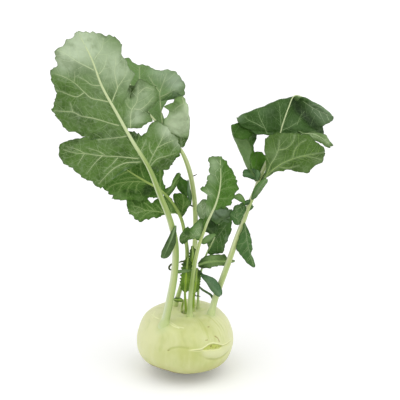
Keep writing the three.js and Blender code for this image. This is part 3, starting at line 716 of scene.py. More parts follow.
def grid_normals(grid):
    """The way that a grid of points faces at each of them."""
    one = grid[1:, 1:] - grid[:-1, :-1]
    two = grid[1:, :-1] - grid[:-1, 1:]
    face = np.cross(one, two)
    total = np.zeros_like(grid)
    for rows in (slice(0, -1), slice(1, None)):
        for columns in (slice(0, -1), slice(1, None)):
            total[rows, columns] += face
    return total / (np.linalg.norm(total, axis=2)[..., None] + 1e-9)


def grid_faces(grid):
    """The four-sided faces between a grid's points."""
    rows, columns = grid.shape[:2]
    starts = [row * columns + k for row in range(rows - 1) for k in range(columns - 1)]
    return [(a, a + 1, a + columns + 1, a + columns) for a in starts]


def grid_tree(grid):
    """The grid's surface, for finding where a straight line meets it."""
    return BVHTree.FromPolygons([Vector(p) for p in grid.reshape(-1, 3)], grid_faces(grid))


def two_faced(grid, facing, margin):
    """A sheet's points and faces, from the middle of its thickness: two faces and a rim, thinner to
    the margin. Also its front face alone."""
    half = BLADE_THICKNESS / 2 * (RIM_THICKNESS + (1 - RIM_THICKNESS) * ramp(margin, 0, 2.5))[..., None]
    front = grid + facing * half
    points = np.vstack([front.reshape(-1, 3), (grid - facing * half).reshape(-1, 3)])
    below = len(points) // 2
    faces = []
    rim = {}
    for ring in grid_faces(grid):
        faces.append(ring)
        faces.append(tuple(below + p for p in reversed(ring)))
        for p, q in zip(ring, ring[1:] + ring[:1]):
            if (q, p) in rim:
                del rim[(q, p)]
            else:
                rim[(p, q)] = True
    faces += [(q, p, below + p, below + q) for p, q in rim]
    return points, faces, front


def drawn(line):
    """The route of a line given as seen from straight in front, by x and z."""
    return route([(x, 0, z) for x, z in line])


def traced(tree, line, step=1.1):
    """A line drawn as seen from straight in front, carried onto a blade's surface."""
    at = drawn(line)
    spots = []
    for x, _, z in at(even_places(at, len(line) - 1, step)):
        hit, facing, _, _ = tree.ray_cast(Vector((x, -400, z)), Vector((0, 1, 0)))
        if hit is not None:
            facing = facing if facing.y < 0 else -facing
            spots.append((np.array(hit), np.array(facing)))
        elif spots:
            break
    return spots


def side_veins(lines, seed, gap):
    """Thin side branches off some veins, to both sides in turn, each up to where it meets another."""
    chance = random.Random(seed)
    taken = np.vstack([drawn(line)(np.linspace(0, len(line) - 1, 60)) for line in lines])[:, [0, 2]]
    grown = []
    for line in lines:
        at = drawn(line)
        for count, place in enumerate(even_places(at, len(line) - 1, gap / 2)[1:-1]):
            ahead = (at(place + 0.05) - at(place - 0.05))[0][[0, 2]]
            turn_out = math.radians(chance.uniform(42, 62)) * (1 if count % 2 else -1)
            heading = math.atan2(ahead[1], ahead[0]) + turn_out
            bend = -turn_out * chance.uniform(0.02, 0.06)
            spot = at(place)[0][[0, 2]]
            path = [spot]
            for length in range(int(gap * 1.6 * chance.uniform(0.6, 1.25) / TWIG_STRIDE)):
                heading += bend + chance.uniform(-0.12, 0.12)
                spot = spot + TWIG_STRIDE * np.array([math.cos(heading), math.sin(heading)])
                path.append(spot)
                if length > 1 and np.linalg.norm(taken - spot, axis=1).min() < 0.9:
                    break
            if len(path) > 4:
                taken = np.vstack([taken, path[2:]])
            if len(path) > 3:
                grown.append([tuple(p) for p in path])
    return grown


def patches(points, spots):
    """How strongly each point lies in round patches given as x, z, size and amount."""
    total = np.zeros(len(points))
    for x, z, size, amount in spots:
        total += amount * hump(np.hypot(points[:, 0] - x, points[:, 2] - z), size)
    return total


def vein_ribs(name, tree, lines, twigs, width, raised, bloom, finish):
    """The veins as round ribs that taper outward, sunk into the face of the blade that is seen."""
    points = []
    faces = []
    thin = []
    turned = np.linspace(0, 2 * math.pi, VEIN_SIDES, endpoint=False)
    for line, is_twig in [(line, 0.0) for line in lines] + [(line, 1.0) for line in twigs]:
        spots = traced(tree, line)
        if len(spots) < 3:
            continue
        centres = np.array([place for place, _ in spots])
        lean_out = np.array([way for _, way in spots])
        size = min(1.0, 0.35 + len(spots) / 60)
        thick = np.linspace(*(TWIG_WIDTH if is_twig else np.array(width) * size), len(spots))
        centres = centres + lean_out * (thick * (raised * 2 - 1))[:, None]
        forward = np.gradient(centres, axis=0)
        forward /= np.linalg.norm(forward, axis=1)[:, None] + 1e-9
        across = np.cross(forward, lean_out)
        across /= np.linalg.norm(across, axis=1)[:, None] + 1e-9
        rise = np.cross(across, forward)
        rings = [centres + thick[:, None] * (math.cos(a) * across + math.sin(a) * rise) for a in turned]
        tube = np.vstack([np.stack(rings, 1).reshape(-1, 3), centres[:1], centres[-1:]])
        faces += [tuple(len(thin) + p for p in face) for face in turned_grid(len(spots), VEIN_SIDES)]
        points.append(tube)
        thin += [is_twig] * len(tube)
    points = np.vstack(points)
    ribs = shape(name, points, faces, thin=thin, bloom=patches(points, bloom))
    ribs.data.materials.append(finish)
    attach(ribs, "root")


def blade(name, nodes, midrib, left, right, finish, blade_from=0.0, columns=40,
          veins=(), vein_finish=None, vein_width=(0.5, 0.15), raised=0.35, ruffle=(1.2, 17.0),
          puff=0.9, wrinkle=0.5, teeth=1.0, bloom=(), deep=(), folds=(), twigs=8.0, seed=1.0,
          step=MARGIN_STEP):
    """A blade on its midrib. left and right are its side ribs: the place on the midrib, the end on
    the margin and sometimes a point on the way. veins are lines drawn as seen from the front.
    bloom lists places paler with wax and with painted highlight, and deep lists
    places of painted shade, each as x, z, size, amount; folds are lines with width and depth, sunk
    in and painted with shade along their valleys. It puffs up between the veins, waves along the
    margin, wrinkles and curls back as a whole."""
    at = route(midrib)
    end = len(midrib) - 1
    sides = [lobe_side(left, at, blade_from, end), lobe_side(right, at, blade_from, end)]
    rows = blade_rows(at, sides, sorted([blade_from, end] + [rib[0] for rib in left + right]), step)
    share = 1 - (1 - np.linspace(0, 1, columns + 1)) ** MARGIN_CLOSENESS
    spine = at(rows)
    strips = [spine + sides[0](rows, t) for t in share[:0:-1]]
    strips += [spine + sides[1](rows, t) for t in share]
    grid = np.stack(strips, 1)

    # the margin curls back, and has teeth that lean along it
    margin, along, outward = margins(grid, columns)
    width_here = np.maximum(margin.max(axis=1), 1.0)[:, None]
    tips = np.stack([along.ravel() / TOOTH_LENGTH, np.full(along.size, seed), np.zeros(along.size)], 1)
    rim_share = (1 - margin / width_here) ** 2 * ramp(width_here, 3, 10)
    grid[..., 1] -= CUP * rim_share * (1.0 + 0.8 * clouds(tips / 6, 1.0, seed + 3).reshape(margin.shape))
    saw = (tips[:, 0] * 0.62 + 0.5 * clouds(tips, 2.0, seed + 1)) % 1.0
    jag = clouds(tips, 1.0, seed) * 0.55 + clouds(tips, 2.6, seed + 5) * 0.7 + (0.9 * saw - 0.3)
    jag = teeth * (jag.reshape(margin.shape) - 0.35)
    jag = jag * np.exp(-margin / TOOTH_REACH) * ramp(width_here, 2, 8)
    grid = grid + outward * jag[..., None]

    # it puffs up between the veins
    facing = grid_normals(grid)
    points = grid.reshape(-1, 3)
    from_midrib = np.linalg.norm(grid - grid[:, columns:columns + 1], axis=2)
    near = np.minimum(60.0, from_midrib.ravel())
    if veins:
        tree = grid_tree(grid)
        for line in veins:
            for place, _ in traced(tree, line, 2.0):
                near = np.minimum(near, np.linalg.norm(points - place, axis=1))
    swell = -puff * (1 - hump(near.reshape(margin.shape), PUFF_REACH))

    # it waves along the margin, and is wrinkled all over
    height, wave = ruffle
    lean = clouds(tips, 6.0, seed + 9).reshape(margin.shape) * 2.2
    wavy = np.sin(along * 2 * math.pi / wave + lean)
    wavy += 0.5 * np.sin(along * 2 * math.pi / (wave * 0.43) + 2 * lean)
    swell += height * wavy * np.exp(-margin / RUFFLE_REACH) * ramp(width_here, 3, 12)
    swell += wrinkle * clouds(points, WRINKLE_SIZES[0], seed).reshape(margin.shape)
    swell += 0.35 * wrinkle * clouds(points, WRINKLE_SIZES[1], seed + 2).reshape(margin.shape)
    # painted shade: the places listed in deep, and the valleys of the folds, which also sink in
    shaded = patches(points, deep)
    for line, fold_width, depth in folds:
        valley = hump(distance_to(points * [1, 0, 1], [(x, 0, z) for x, z in line]), fold_width)
        shaded = np.maximum(shaded, valley * min(1.0, abs(depth) / 2))
        swell -= depth * valley.reshape(margin.shape)
    grid = grid + facing * swell[..., None]

    both, faces, front = two_faced(grid, grid_normals(grid), margin)
    count = len(points)
    midline = hump(from_midrib, np.linspace(*MIDLINE_WIDTH, len(rows))[:, None]).ravel()
    body = shape(name, both, faces, near_face=np.repeat([1.0, 0.0], count),
                 bloom=np.tile(patches(points, bloom), 2), deep=np.tile(shaded, 2),
                 margin=np.tile(margin.ravel(), 2), vein=np.tile(hump(near, 1.5), 2),
                 midline=np.concatenate([np.zeros(count), midline]))
    body.data.materials.append(finish)
    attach(body, "root")
    if nodes:
        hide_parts(*nodes)
    if veins:
        in_blade = np.arange(math.ceil(blade_from), end + 0.1)
        grown = side_veins(list(veins) + [[(p[0], p[2]) for p in at(in_blade)]], seed, twigs)
        vein_ribs(name.replace("_blade", "") + "_veins", grid_tree(front), veins, grown, vein_width,
                  raised, bloom, vein_finish)


def leaf_finish(name, near, far, pale="a9bda0", vein="b4c79c", blotch=0.35, net=0.13, roughness=0.55):
    """Leaf skin: a colour for each face, cloudy, paler along the veins and in patches of wax and
    painted highlight, darker with painted shade in shaded places, in fold valleys and along the
    margin, with a fine net of veinlets."""
    skin = Finish(name, roughness=roughness, shine=0.2)
    colour = skin.over(dye(far), dye(near), skin.number("near_face"))
    mottle = skin.grain(13)
    # paler patches: wax bloom, and painted highlight where the blade faces the light
    colour = skin.mark(colour, pale, "bloom", 0, 1, 0.95)
    darker = skin.over(colour, dye("8a9a70"), 1.0, "MULTIPLY")
    # painted shade where the mesh keeps it: deep places and fold valleys
    colour = skin.over(colour, darker, skin.between(skin.number("deep"), 0.0, 1.0))
    colour = skin.over(colour, darker, skin.between(mottle, 0.45, 0.7, 0, blotch))
    colour = skin.over(colour, dye(pale), skin.between(skin.grain(4, 4.0), 0.5, 0.75, 0, blotch * 0.35))
    place = skin.add("TexCoord")
    cells = skin.add("TexVoronoi", {"feature": "DISTANCE_TO_EDGE"}, Vector=(place, "Object"),
                     Scale=1 / (VEINLET_GAP * MM), Randomness=0.9)
    veinlet = skin.between((cells, "Distance"), 0.0, 0.09, 1.0, 0.0)
    colour = skin.over(colour, dye(vein), skin.times(veinlet, net))
    colour = skin.mark(colour, vein, "vein", 0.2, 1, 0.22)
    colour = skin.mark(colour, vein, "midline", 0.2, 0.8, 0.85)
    # painted shade, darker toward the margin where the teeth shade it
    colour = skin.over(colour, darker, skin.between(skin.number("margin"), 1.3, 0.0, 0, 0.6))
    relief = skin.bumps(veinlet, 0.12)
    relief = skin.bumps(skin.grain(2.2), 0.22, relief)
    return skin.done(colour, relief, skin.between(mottle, 0.3, 0.7, roughness - 0.08, roughness + 0.1))


def vein_skin(name, code="aec18e", thin="86a068"):
    """The ribs of a blade: pale, greener where they are thin, and paler in patches of wax and painted
    highlight.
    """
    rib = Finish(name, roughness=0.5, shine=0.2)
    colour = rib.over(dye(code), dye(thin), rib.between(rib.grain(6, 2.0), 0.4, 0.75, 0, 0.5))
    colour = rib.over(colour, dye(thin), rib.number("thin"))
    return rib.done(rib.mark(colour, "c9d8b4", "bloom", 0, 1, 0.9))


pale_vein = vein_skin("pale_vein", "bccc96", thin="88a268")
blade(
    "front_blade", ["front_leaf_blade"], FRONT_MIDRIB, blade_from=FRONT_BLADE_START,
    left=[
        (6.05, (-37, -44, 209)), (6.12, (-46, -40, 208.5)), (6.2, (-57, -38, 202)),
        (6.26, (-64, -37, 193.5)), (6.32, (-71, -36, 185)), (6.4, (-82.5, -35, 191)),
        (6.45, (-92, -35, 198.5)), (6.5, (-100.5, -35, 204.5)), (6.6, (-105, -35, 213.5)),
        (6.7, (-104, -35, 221)), (6.8, (-95, -36, 226.5)), (6.9, (-86, -40, 228.7)),
        (7, (-77, -44, 230.5)), (7.2, (-87, -39, 231)), (7.4, (-101, -38, 238.5)),
        (7.6, (-106, -38, 247)), (7.8, (-109, -38, 253)), (8, (-106, -38, 262)),
        (8.3, (-107, -39, 275)), (8.5, (-109, -40, 284)), (8.8, (-103, -41, 289)),
        (9.1, (-103.5, -42, 295)), (9.4, (-103, -42, 301)), (10.2, (-95, -41, 309)),
    ],
    right=[
        (6.02, (-20, -32, 198)), (6.06, (-10, -29, 203)), (6.1, (-6, -28, 209)), (6.14, (-2, -28, 218)),
        (6.19, (-6, -29, 225)), (6.24, (-10.5, -30, 232)), (6.3, (-16, -31, 238)),
        (6.4, (-22.5, -33, 242)), (6.5, (-28.5, -36, 240)), (6.6, (-31, -39, 235)),
        (6.75, (-34, -43, 232.5)), (6.95, (-39.5, -47, 236)), (7.2, (-45, -49, 238)),
        (7.45, (-45, -49, 242)), (7.5, (-36, -42, 239)), (7.55, (-30, -38, 240.5)),
        (7.6, (-25.5, -36, 243.5)), (7.65, (-29, -34, 250)), (7.68, (-24, -31, 255)),
        (7.72, (-22, -30, 261)), (7.77, (-21.5, -30, 266)), (7.82, (-25, -31, 271)),
        (7.88, (-31, -32, 275)), (7.95, (-37, -33, 278)), (8.02, (-42.5, -37, 272)),
        (8.1, (-39.5, -35, 281)), (8.2, (-41, -35, 284)), (8.3, (-44, -36, 287)),
        (8.4, (-46, -37, 292)), (8.5, (-49, -38, 297)), (8.8, (-49.5, -38, 306)),
        (9.3, (-57, -38, 313)), (10, (-66, -38, 315)), (10.4, (-75, -38, 317.2)),
    ],
    veins=[
        [(-72, 288), (-83, 293), (-90, 297), (-97, 301), (-103, 303)],
        [(-67, 276), (-74, 276), (-79, 279), (-85, 282)],
        [(-61, 263), (-69, 264), (-75, 265), (-81, 270), (-89, 277), (-97, 281), (-104, 283)],
        [(-81, 269), (-87, 265), (-93, 266), (-99, 268), (-105, 269)],
        [(-53, 243), (-62, 245), (-75, 248), (-84, 249), (-91, 252), (-97, 252), (-106, 252)],
        [(-91, 252), (-92, 256), (-93, 260)], [(-89, 277), (-88, 282), (-88, 286)],
        [(-38, 214), (-53, 215), (-68, 215), (-83, 216), (-92, 216), (-101, 218)],
        [(-83, 216), (-86, 211), (-89, 206)], [(-68, 215), (-74, 209), (-79, 202), (-82, 198)],
        [(-55, 214), (-61, 207), (-67, 201)], [(-82, 216), (-89, 219), (-98, 221)],
        [(-66, 216), (-72, 219), (-81, 221)], [(-47, 234), (-60, 231), (-71, 229)],
        [(-37, 211), (-47, 210), (-56, 206), (-62, 201), (-68, 194), (-72, 189)],
        [(-72, 296), (-69, 300), (-66, 304), (-65, 311)], [(-68, 285), (-64, 290), (-62, 298)],
        [(-58, 263), (-56, 268), (-54, 273), (-55, 279), (-56, 286), (-55, 293), (-55, 298)],
        [(-54, 273), (-51, 277), (-48, 281), (-47, 285)],
        [(-44, 240), (-43, 254), (-39, 260), (-38, 266), (-38, 272)],
        [(-43, 255), (-46, 258), (-48, 262)], [(-41, 255), (-36, 254), (-31, 257), (-26, 262)],
        [(-38, 266), (-32, 270), (-26, 268)], [(-30, 207), (-26, 216), (-21, 224), (-16, 234)],
        [(-29, 206), (-23, 212), (-16, 213), (-8, 214)], [(-38, 217), (-35, 222), (-32, 228)],
        [(-26, 216), (-29, 221), (-29, 226)], [(-23, 221), (-17, 223), (-9, 225)],
    ],
    bloom=[
        (-82, 308, 20, 0.88), (-52, 290, 17, 0.62), (-98, 293, 11, 0.6), (-36, 266, 12, 0.4),
        (-39, 248, 8, 0.65), (-28, 262, 8, 0.12), (-13, 232, 8, 0.75), (-5, 222, 5, 0.6),
        (-22, 238, 8, 0.2), (-88, 226, 10, 0.15), (-70, 264, 18, 0.2), (-60, 232, 12, 0.2),
        (-90, 249, 9, 0.17),
    ],
    deep=[
        (-100, 262, 12, 0.35), (-92, 243, 12, 0.3), (-42, 270, 3.5, 1.0), (-36, 252, 4, 0.25),
        (-41, 234.5, 5.5, 1.2), (-14, 206, 8, 0.4),
    ],
    folds=[
        ([(-39, 279), (-41, 274), (-43, 269), (-43, 265)], 2.2, 2.2), ([(-77, 231), (-70, 232)], 3, 1),
    ],
    finish=leaf_finish("front_leaf_underside", near="567831", far="4c6e35", pale="c2d3b2", blotch=0.5),
    vein_finish=pale_vein, columns=42, teeth=1.3, seed=4.0,
)

# ---------------------------------------------------------------------------------------------
# The back leaf: it rises behind the front leaf and leans left over it, so that its upper right
# and one lobe show. Both are torn apart by two holes, and only a thin strip joins them.
# ---------------------------------------------------------------------------------------------
BACK_MIDRIB = [
    (5, 13, 46), (6, 14, 76), (7, 14, 96), (8, 15, 117), (8.5, 18, 138), (7, 22, 161),
    (2.8, 26, 183), (-4.5, 30, 200), (-14.5, 33, 211.5), (-24.5, 35, 222.5), (-34, 37, 233),
    (-42, 38, 244), (-49, 40, 257), (-58, 42, 275),
]
BACK_BLADE_START = 7
# a paler peel than the other stalks: painted light that lifts the shade on this stalk behind the front
# leaf
back_peel = stalk_finish("back_stalk_peel", green="bccf80", pale="e0e9b2")
stalk("back_stalk", "back_leaf_stalk", BACK_MIDRIB, radii=(3.7, 3.1), blade_from=BACK_BLADE_START,
      finish=back_peel, waist=0.3, sunny=-0.6, seed=5.0)
back_skin = leaf_finish("back_leaf_underside", near="6f9152", far="4c6e35")
pale_lobe_skin = leaf_finish("back_leaf_pale_lobe", near="82a460", far="4c6e35", pale="cfe1ba",
                             net=0.08)
blade(
    "back_blade", ["back_leaf_blade"], BACK_MIDRIB, blade_from=BACK_BLADE_START,
    left=[
        (7.2, (-8, 30, 200)), (9.5, (-31, 36, 228)), (10.3, (-52, 36, 233)), (11, (-66, 38, 247)),
        (12, (-72, 40, 264)),
    ],
    right=[
        (7.3, (-5, 33, 204)), (7.8, (-11, 35, 213)), (8.2, (-17, 36, 221)), (8.5, (-19, 36, 227)),
        (9, (-21, 36, 232)), (9.4, (-19, 37, 238)), (9.8, (-16, 38, 243)), (10.1, (-10, 40, 250)),
        (10.4, (-4.8, 41, 248)), (10.6, (-1.8, 42, 246.5)), (10.8, (0, 43, 255)), (11, (-4, 44, 261.5)),
        (11.2, (-9, 44, 267.5)), (11.4, (-17.5, 45, 269.5)), (11.7, (-27, 45, 269)),
        (11.9, (-32, 46, 272)), (12.2, (-42, 46, 274)), (12.7, (-52, 47, 280.5)),
    ],
    veins=[
        [(-21, 223), (-22, 234), (-23, 245), (-23, 250), (-21, 256), (-17, 266)],
        [(-23, 250), (-26, 254), (-29, 258), (-33, 264)],
        [(-23, 246), (-18, 248), (-14, 250), (-10, 252)], [(-41, 250), (-41, 262), (-41, 273)],
    ],
    bloom=[(-24, 268, 11, 0.55), (-8, 258, 10, 0.8)],
    finish=back_skin, vein_finish=pale_vein, columns=30, seed=7.0,
)
blade(
    "back_right_lobe", ["back_leaf_right_lobe"],
    [(-4, 29, 203), (-4, 31, 213), (-1, 31, 222), (0, 31, 232), (-3, 33, 248)],
    left=[
        (0.4, (-12, 33, 207)), (0.9, (-17, 33, 214)), (1.4, (-20.5, 33, 222)), (1.9, (-19, 33, 227)),
        (2.3, (-17, 33, 230)), (2.6, (-15, 33, 234)), (2.85, (-19.5, 34, 238)), (3.05, (-17, 33, 240)),
        (3.3, (-12, 33, 242.5)), (3.55, (-9, 33, 246.5)), (3.8, (-5, 34, 248)),
    ],
    right=[
        (0.4, (0, 30, 205)), (0.9, (3, 30, 213)), (1.5, (3.5, 30, 222)), (2.2, (3, 31, 231)),
        (3, (2, 32, 240)), (3.6, (-1, 33, 246)),
    ],
    veins=[
        [(-3, 247), (-1, 238), (0, 231), (-1, 222), (-3, 214)], [(-16, 224), (-7, 218), (0, 213)],
        [(-2, 242), (-8, 238), (-12, 234)], [(-1, 230), (-8, 228), (-14, 227)],
    ],
    bloom=[(-8, 222, 11, 1.1), (2, 240, 5, 0.6), (0, 228, 10, 0.75)],
    deep=[(-9, 241, 4, 0.5), (-5, 207, 4.5, 1.0), (0, 207, 4, 1.0)],
    folds=[([(-13, 213.5), (-8, 211.5), (-3, 210), (3, 210)], 1.5, 1.7)],
    finish=pale_lobe_skin, vein_finish=pale_vein, columns=16, teeth=0.7, ruffle=(0.6, 11), seed=8.0,
)

# ---------------------------------------------------------------------------------------------
# The lower leaf: bright green, its colour painted brighter for the light that shines through it, reaching
# out to the left under the front leaf.
# Its lowest lobe hangs free below it, and two small lobes stand to the right of its stalk.
# ---------------------------------------------------------------------------------------------
LOWER_MIDRIB = [
    (-14, 11, 46), (-5, 8, 77), (0, 6, 97), (1, 5, 113), (-1, 5, 129), (-4, 4, 144),
    (-10, 2, 157), (-18, -2, 169), (-26, -6, 177), (-33, -9, 182), (-44, -12, 190),
    (-54, -13, 197), (-66, -12, 203),
]
LOWER_BLADE_START = 7.2
lower_peel = stalk_finish("lower_stalk_peel", green="88a447", pale="a6bc6a", high="a6be62")
stalk("lower_stalk", "lower_leaf_stalk", LOWER_MIDRIB, radii=(3.2, 1.8), blade_from=LOWER_BLADE_START,
      finish=lower_peel, seed=9.0)
# bright greens, painted brighter and more saturated for the light shining through the thin leaf
lower_skin = leaf_finish("lower_leaf_underside", near="456f1b", far="3a5a26", pale="8bab68",
                         vein="9dbb73")
dim_skin = leaf_finish("lower_leaf_in_shade", near="4c7340", far="3a5a2c", pale="93ae8c", vein="8fab78")
lit_vein = vein_skin("lit_vein", "9fba6c", thin="76964a")
blade(
    "lower_blade", ["lower_leaf_blade"], LOWER_MIDRIB, blade_from=LOWER_BLADE_START,
    left=[
        (7.35, (-22, -4, 166.5)), (7.6, (-27, -6, 165.5)), (8, (-34, -9, 164.5)),
        (8.5, (-45, -10, 165)), (8.9, (-56, -10, 166)), (9.2, (-65, -10, 166)), (9.4, (-63, -10, 170)),
        (9.6, (-67, -10, 173)), (10.1, (-75, -10, 181)), (11, (-78, -10, 195)),
    ],
    right=[
        (7.4, (-18, -3, 172)), (7.6, (-19, -4, 182)), (8, (-20, -5, 194)), (8.6, (-28, -7, 203)),
        (9.8, (-51, -12, 212)), (10.8, (-62, -12, 211)),
    ],
    veins=[
        [(-33, 182), (-41, 183), (-50, 183), (-59, 181), (-65, 178), (-70, 173)],
        [(-50, 183), (-55, 179), (-58, 173)], [(-45, 183), (-49, 178), (-51, 171)],
        [(-39, 183), (-42, 179), (-43, 173)], [(-36, 187), (-38, 193), (-39, 201)],
        [(-45, 190), (-47, 194), (-46, 200)], [(-49, 193), (-55, 190), (-62, 187)],
        [(-39, 186), (-48, 187), (-56, 185)], [(-21, 172), (-22, 179), (-22, 188), (-22, 197)],
    ],
    bloom=[(-62, 170, 6, 0.35), (-40, 167, 4, 0.4), (-54, 168, 5, 0.4)],
    deep=[(-31, 177, 5, 0.9), (-34, 172, 6, 0.7), (-45, 173, 5, 0.5), (-24, 196, 5, 0.3)],
    folds=[([(-52, 174), (-44, 173), (-35, 172), (-26, 169)], 2.4, 1.2)],
    finish=lower_skin, vein_finish=lit_vein, vein_width=(0.45, 0.16), columns=26, teeth=1.7, twigs=7,
    seed=11.0,
)
blade(
    "lower_bottom_lobe", ["lower_leaf_bottom_lobe"],
    [(-4, 4, 149), (-18, -2, 152), (-27, -4, 154), (-35, -5, 155), (-44, -6, 155), (-50, -7, 156)],
    left=[
        (0.6, (-12, 0, 149)), (1.4, (-20, -2, 147.5)), (2.2, (-30, -5, 146)), (2.9, (-36, -5, 145)),
        (3.5, (-43, -6, 146)), (4.2, (-48, -7, 151.5)),
    ],
    right=[
        (0.5, (-8, 2, 158)), (0.9, (-14, 1, 165)), (1.5, (-21, -1, 168)), (1.9, (-26, -3, 164.5)),
        (2.1, (-27.5, -4, 163)), (2.4, (-30.5, -4, 163)), (2.7, (-33, -5, 165)), (3.4, (-42, -6, 165)),
        (4.3, (-51, -7, 165)),
    ],
    veins=[
        [(-5, 149), (-18, 152), (-27, 154), (-35, 155), (-44, 153), (-49, 156)],
        [(-27, 154), (-31, 158), (-36, 162)], [(-35, 155), (-40, 158), (-47, 160)],
        [(-20, 152), (-23, 157), (-26, 160)], [(-31, 154), (-36, 151), (-40, 147)],
        [(-12, 151), (-14, 157), (-17, 164)],
    ],
    bloom=[(-44, 154, 8, 0.4), (-10, 156, 5, 0.45), (-30, 150, 6, 0.3)],
    deep=[(-46, 162, 6, 0.4), (-27, 163, 5, 0.3)],
    finish=lower_skin, vein_finish=lit_vein, vein_width=(0.45, 0.16), columns=14, teeth=1.7, twigs=6,
    seed=12.0,
)
blade(
    "lower_right_lobe", ["lower_leaf_right_lobe"],
    [(-5, 6, 144), (-3, 7, 152), (-2, 8, 160), (-3, 8, 166)],
    left=[
        (0.3, (-6, 6, 149)), (0.8, (-9, 6, 155)), (1.4, (-11, 6, 161)), (1.9, (-11, 6, 165.5)),
        (2.5, (-6, 7, 167)),
    ],
    right=[
        (0.4, (-1, 6, 148)), (0.9, (2, 7, 153)), (1.4, (4, 7, 157)), (1.9, (4, 8, 161)),
        (2.5, (1, 8, 164)),
    ],
    veins=[
        [(-5, 145), (-3, 152), (-2, 160), (-3, 165)], [(-4, 150), (-7, 155), (-9, 162)],
        [(-3, 153), (1, 158), (2, 161)],
    ],
    bloom=[(3, 157, 3, 0.4)], deep=[(-8, 158, 5, 0.3), (-2, 148, 4, 0.3)],
    finish=lower_skin, vein_finish=lit_vein, vein_width=(0.4, 0.16), columns=10, teeth=1.0, twigs=5,
    seed=13.0,
)
blade(
    "pale_strip_to_right_lobe", [], [(-17, 5, 166), (-12, 6, 171), (-8, 6, 177), (-5, 6, 183.5)],
    left=[(0.4, (-16, 5, 170)), (1, (-13, 6, 174)), (1.7, (-11, 6, 178)), (2.5, (-8, 6, 183))],
    right=[(0.4, (-14, 5, 166)), (1, (-11, 6, 169)), (1.7, (-8, 6, 174)), (2.5, (-5, 6, 179))],
    bloom=[(-12, 173, 8, 0.35)], finish=lower_skin, columns=8, teeth=0.5, ruffle=(0.4, 8), seed=14.5,
)
blade(
    "dark_lobe_by_back_stalk", [], [(1, 8, 162), (0, 10, 168), (-3, 10, 174), (-5, 10, 181)],
    left=[(0.4, (-2, 10, 164)), (1, (-6, 10, 168)), (1.6, (-8.5, 10, 172)), (2.3, (-7, 10, 177))],
    right=[(0.5, (2, 10, 168)), (1.2, (2, 10, 173)), (1.9, (2, 10, 177)), (2.5, (-2, 10, 179))],
    deep=[(-3, 170, 8, 0.35)],
    finish=leaf_finish("dark_lobe", near="3f6a18", far="3a5a2c", vein="6f8f4a"), columns=8, teeth=0.8,
    ruffle=(0.4, 8), seed=61.0,
)
blade(
    "pale_lobe_by_back_stalk", [], [(4, 8, 155), (3.5, 8, 163), (3, 8, 170), (2, 8, 178.5)],
    left=[(0.6, (2, 8, 162)), (1.4, (1, 8, 168)), (2.3, (1.5, 8, 174))],
    right=[(0.5, (5, 8, 158)), (1.2, (5.5, 8, 164)), (2, (4, 8, 171)), (2.6, (3, 8, 177))],
    bloom=[(4, 173, 8, 0.5)], deep=[(4, 162, 5, 0.4)],
    finish=dim_skin, columns=6, teeth=0.5, ruffle=(0.4, 8), seed=62.0,
)
blade(
    "lower_upper_lobe", ["lower_leaf_upper_lobe"],
    [(-19, -1, 167), (-14, 1, 172), (-9, 3, 179), (-5, 4, 186)],
    left=[(0.5, (-18, -1, 173)), (1.1, (-13, 1, 176)), (1.7, (-11, 2, 181)), (2.5, (-8, 4, 186))],
    right=[(0.5, (-15, -1, 166)), (1.1, (-11, 2, 172)), (1.7, (-8, 3, 178)), (2.5, (-5, 4, 182))],
    veins=[[(-18, 168), (-13, 173), (-8, 181)]],
    bloom=[(-12, 176, 7, 0.35)],
    finish=lower_skin, vein_finish=lit_vein, vein_width=(0.35, 0.14), columns=8, teeth=1.0, twigs=5,
    seed=14.0,
)
blade(
    "front_leaf_low_lobe", [],
    [(-29, -43, 203), (-24, -29, 205), (-17, -25, 208), (-11, -25, 212), (-5, -25, 217)],
    left=[(1.4, (-24, -26, 211)), (2, (-18, -26, 214)), (3, (-11, -26, 219))],
    right=[
        (1.2, (-21, -22, 195)), (1.5, (-19, -22, 198)), (1.9, (-14, -23, 200)), (2.4, (-10, -24, 203)),
        (2.9, (-8, -25, 207)), (3.3, (-5, -25, 209)), (3.7, (-5, -26, 213)),
    ],
    veins=[[(-24, 206), (-17, 209), (-10, 213)], [(-20, 207), (-18, 203), (-15, 201)]],
    finish=lower_skin, vein_finish=lit_vein, vein_width=(0.35, 0.14), columns=10, teeth=1.2, twigs=6,
    seed=63.0,
)

# ---------------------------------------------------------------------------------------------
# The middle leaf: young and upright, its underside to the front. The left half is paled by wax and
# by painted highlight, and the tip folds over backward. At its foot two lobes have come away to the left
# and right.
# ---------------------------------------------------------------------------------------------
MIDDLE_MIDRIB = [
    (3, -14, 48), (4, -15, 77), (6, -17, 96), (8.5, -19, 114), (12, -21, 130), (16, -22.5, 142),
    (19, -23.5, 151), (22, -24.5, 158), (25, -25, 165), (27.3, -26, 172.5), (29, -26, 180),
    (30, -26, 189), (30, -24, 198), (29.5, -18, 207.5),
]
MIDDLE_BLADE_START = 5
stalk("middle_stalk", "middle_leaf_stalk", MIDDLE_MIDRIB, radii=(3.2, 2.0), blade_from=MIDDLE_BLADE_START,
      finish=pale_stalk, waist=0.15, seed=15.0)
middle_skin = leaf_finish("middle_leaf_underside", near="48741c", far="40622c", pale="98b184",
                          vein="8aa566")
middle_vein = vein_skin("middle_vein", "84a160", thin="6a8b44")
